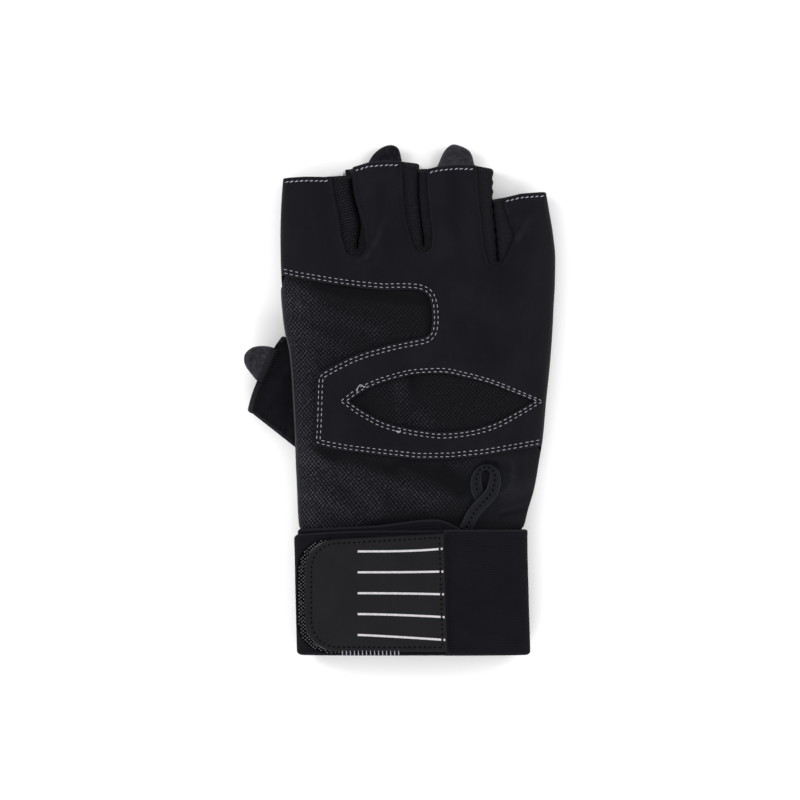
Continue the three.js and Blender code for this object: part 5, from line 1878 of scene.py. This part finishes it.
# The grey piping is paler than the mesh, partly its own colour and partly a painted highlight where the
# seam catches the light from the thumb's side.
grey_piping = knit_paint("piping", (0.026, 0.0253, 0.03), (0.062, 0.06, 0.069))
stripe_print = print_paint()


# Dressing

def dress(piece, material, slot, *nodes):
    """Gives a piece its material and its body, and hides the CAD nodes that it stands for."""
    piece.data.materials.clear()
    piece.data.materials.append(material)
    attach(piece, "root")
    if nodes:
        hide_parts(*nodes)


dress(make_leather(), leather, "leather", "palm_leather")
dress(make_palm_mesh(), palm_mesh, "mesh", "palm_mesh")
dress(make_back(), back_knit, "back_fabric", "back_panel")
dress(make_thumb(), back_knit, "back_fabric", "thumb_sleeve")
overcast = [thumb_overcast()]
for (name, line, fold), (lean, waves, closed) in zip(gaps, GUSSET_WAYS):
    length, place = gusset_surface(line, fold, lean, waves)
    wall = make_gusset(name.replace("gusset", "side_wall"), length, place, closed)
    dress(wall, side_mesh, "mesh", name)
    overcast += gusset_overcast(length, place)
dress(join_meshes("overcast_edges", *overcast), soft_thread, "mesh")
dress(make_finger_tab("middle_pull", MIDDLE_TAB, MIDDLE_TAB_ROOT), dark_suede, "suede", "middle_tab")
dress(make_finger_tab("ring_pull", RING_TAB, RING_TAB_ROOT), lit_suede, "suede", "ring_tab")
thumb_pull = make_tab("thumb_pull", THUMB_TAB, THUMB_TAB_ROOT, OUTWARD, thumb_tab_height, THUMB_LAP)
dress(thumb_pull, thumb_suede, "suede", "thumb_tab")
tab_rows = thumb_tab_row(0.6, -1.0, 0.0), thumb_tab_row(-1.5, -3.0, 0.5)
dress(join_meshes("tab_sewing", *tab_rows), dim_thread, "suede")
dress(join_meshes("side_piping", piping()), grey_piping, "mesh")
dress(join_meshes("sleeve_seam", thumb_seam()), dim_thread, "back_fabric")

dress(make_wrap(), elastic, "elastic", "wrist_wrap")
dress(make_hook_patch(), hook_tape, "hook_tape", "hook_patch")
dress(join_meshes("hook_rows", hook_rows(0), hook_rows(1)), grey_thread, "hook_tape")
dress(make_flap(), flap_leather, "flap_leather", "strap_flap")
for number in range(STRIPE_COUNT):
    dress(make_stripe(number), stripe_print, "print", f"stripe_{number + 1}")
dress(join_meshes("edge_sewing", edge_bars()), white_thread, "elastic")

dress(make_loop(), loop_leather, "flap_leather", "pull_loop")
dress(join_meshes("loop_sewing", loop_stitches()), dark_thread, "flap_leather")
dress(join_meshes("loop_tacks", tack_stitches()), dim_thread, "mesh")

double_seams = sew(seam_lines, sewn_leather, SEAM_PITCH, SEAM_STITCH)
hems = sew(hem_lines, sewn_leather, HEM_PITCH, HEM_STITCH, HEM_THREAD, slant=0.3, seed=2)
topstitch = sew([flap_seam()], flap_top, pitch=2.0, length=0.95, thread=0.36, rise=0.14, seed=3)
dress(join_meshes("double_seams", double_seams), white_thread, "print")
dress(join_meshes("finger_hems", hems), white_thread, "print")
dress(join_meshes("loose_threads", thread_curl(), thread_knot()), white_thread, "print")
dress(join_meshes("flap_sewing", topstitch), dark_thread, "flap_leather")


# Floor, lamps and camera, in metres

# The lamps: name, place, width and power.
LAMPS = [
    ("key", (-1.1, 0.5, 0.75), 0.6, 8),
    ("fill", (1.05, 0.3, 0.8), 0.8, 8),
    ("low", (-0.25, -1.05, 0.75), 0.7, 7),
]
WORLD_STRENGTH = 0.95
FLOOR_HALF = 3.0
LENS = 250
SENSOR = 36
VIEW_WIDTH = 0.3189  # width of the photograph's frame at the glove
VIEW_HEIGHT = 0.016  # height above the floor at which it is that wide
VIEW_CENTRE = (-0.0001, -0.0002)


def add_object(name, data):
    made = bpy.data.objects.new(name, data)
    bpy.context.scene.collection.objects.link(made)
    return made


def add_lamp(name, place, width, power):
    """A round lamp that shines on the glove."""
    data = bpy.data.lights.new(name, "AREA")
    data.shape = "DISK"
    data.size = width
    data.energy = power
    lamp = add_object(name, data)
    lamp.location = place
    lamp.rotation_euler = (-Vector(place)).to_track_quat("-Z", "Y").to_euler()


def make_floor():
    corners = [(x * FLOOR_HALF, y * FLOOR_HALF, 0) for x, y in ((-1, -1), (1, -1), (1, 1), (-1, 1))]
    mesh = bpy.data.meshes.new("floor")
    mesh.from_pydata(corners, [], [(0, 1, 2, 3)])
    material = bpy.data.materials.new("floor")
    material.use_nodes = True
    shader = material.node_tree.nodes["Principled BSDF"]
    shader.inputs["Base Color"].default_value = (0.92, 0.92, 0.92, 1)
    shader.inputs["Roughness"].default_value = 0.9
    shader.inputs["Specular IOR Level"].default_value = 0.0
    mesh.materials.append(material)
    add_object("floor", mesh)


def make_world():
    world = bpy.data.worlds.new("studio")
    world.use_nodes = True
    background = world.node_tree.nodes["Background"]
    background.inputs["Color"].default_value = (1, 1, 1, 1)
    background.inputs["Strength"].default_value = WORLD_STRENGTH
    bpy.context.scene.world = world


def make_camera():
    data = bpy.data.cameras.new("camera")
    data.lens = LENS
    data.sensor_width = SENSOR
    data.clip_start = 0.01
    camera = add_object("camera", data)
    camera.location = (*VIEW_CENTRE, VIEW_HEIGHT + VIEW_WIDTH * LENS / SENSOR)
    bpy.context.scene.camera = camera


make_floor()
for lamp in LAMPS:
    add_lamp(*lamp)
make_world()
make_camera()
bpy.context.scene.view_settings.view_transform = "Standard"
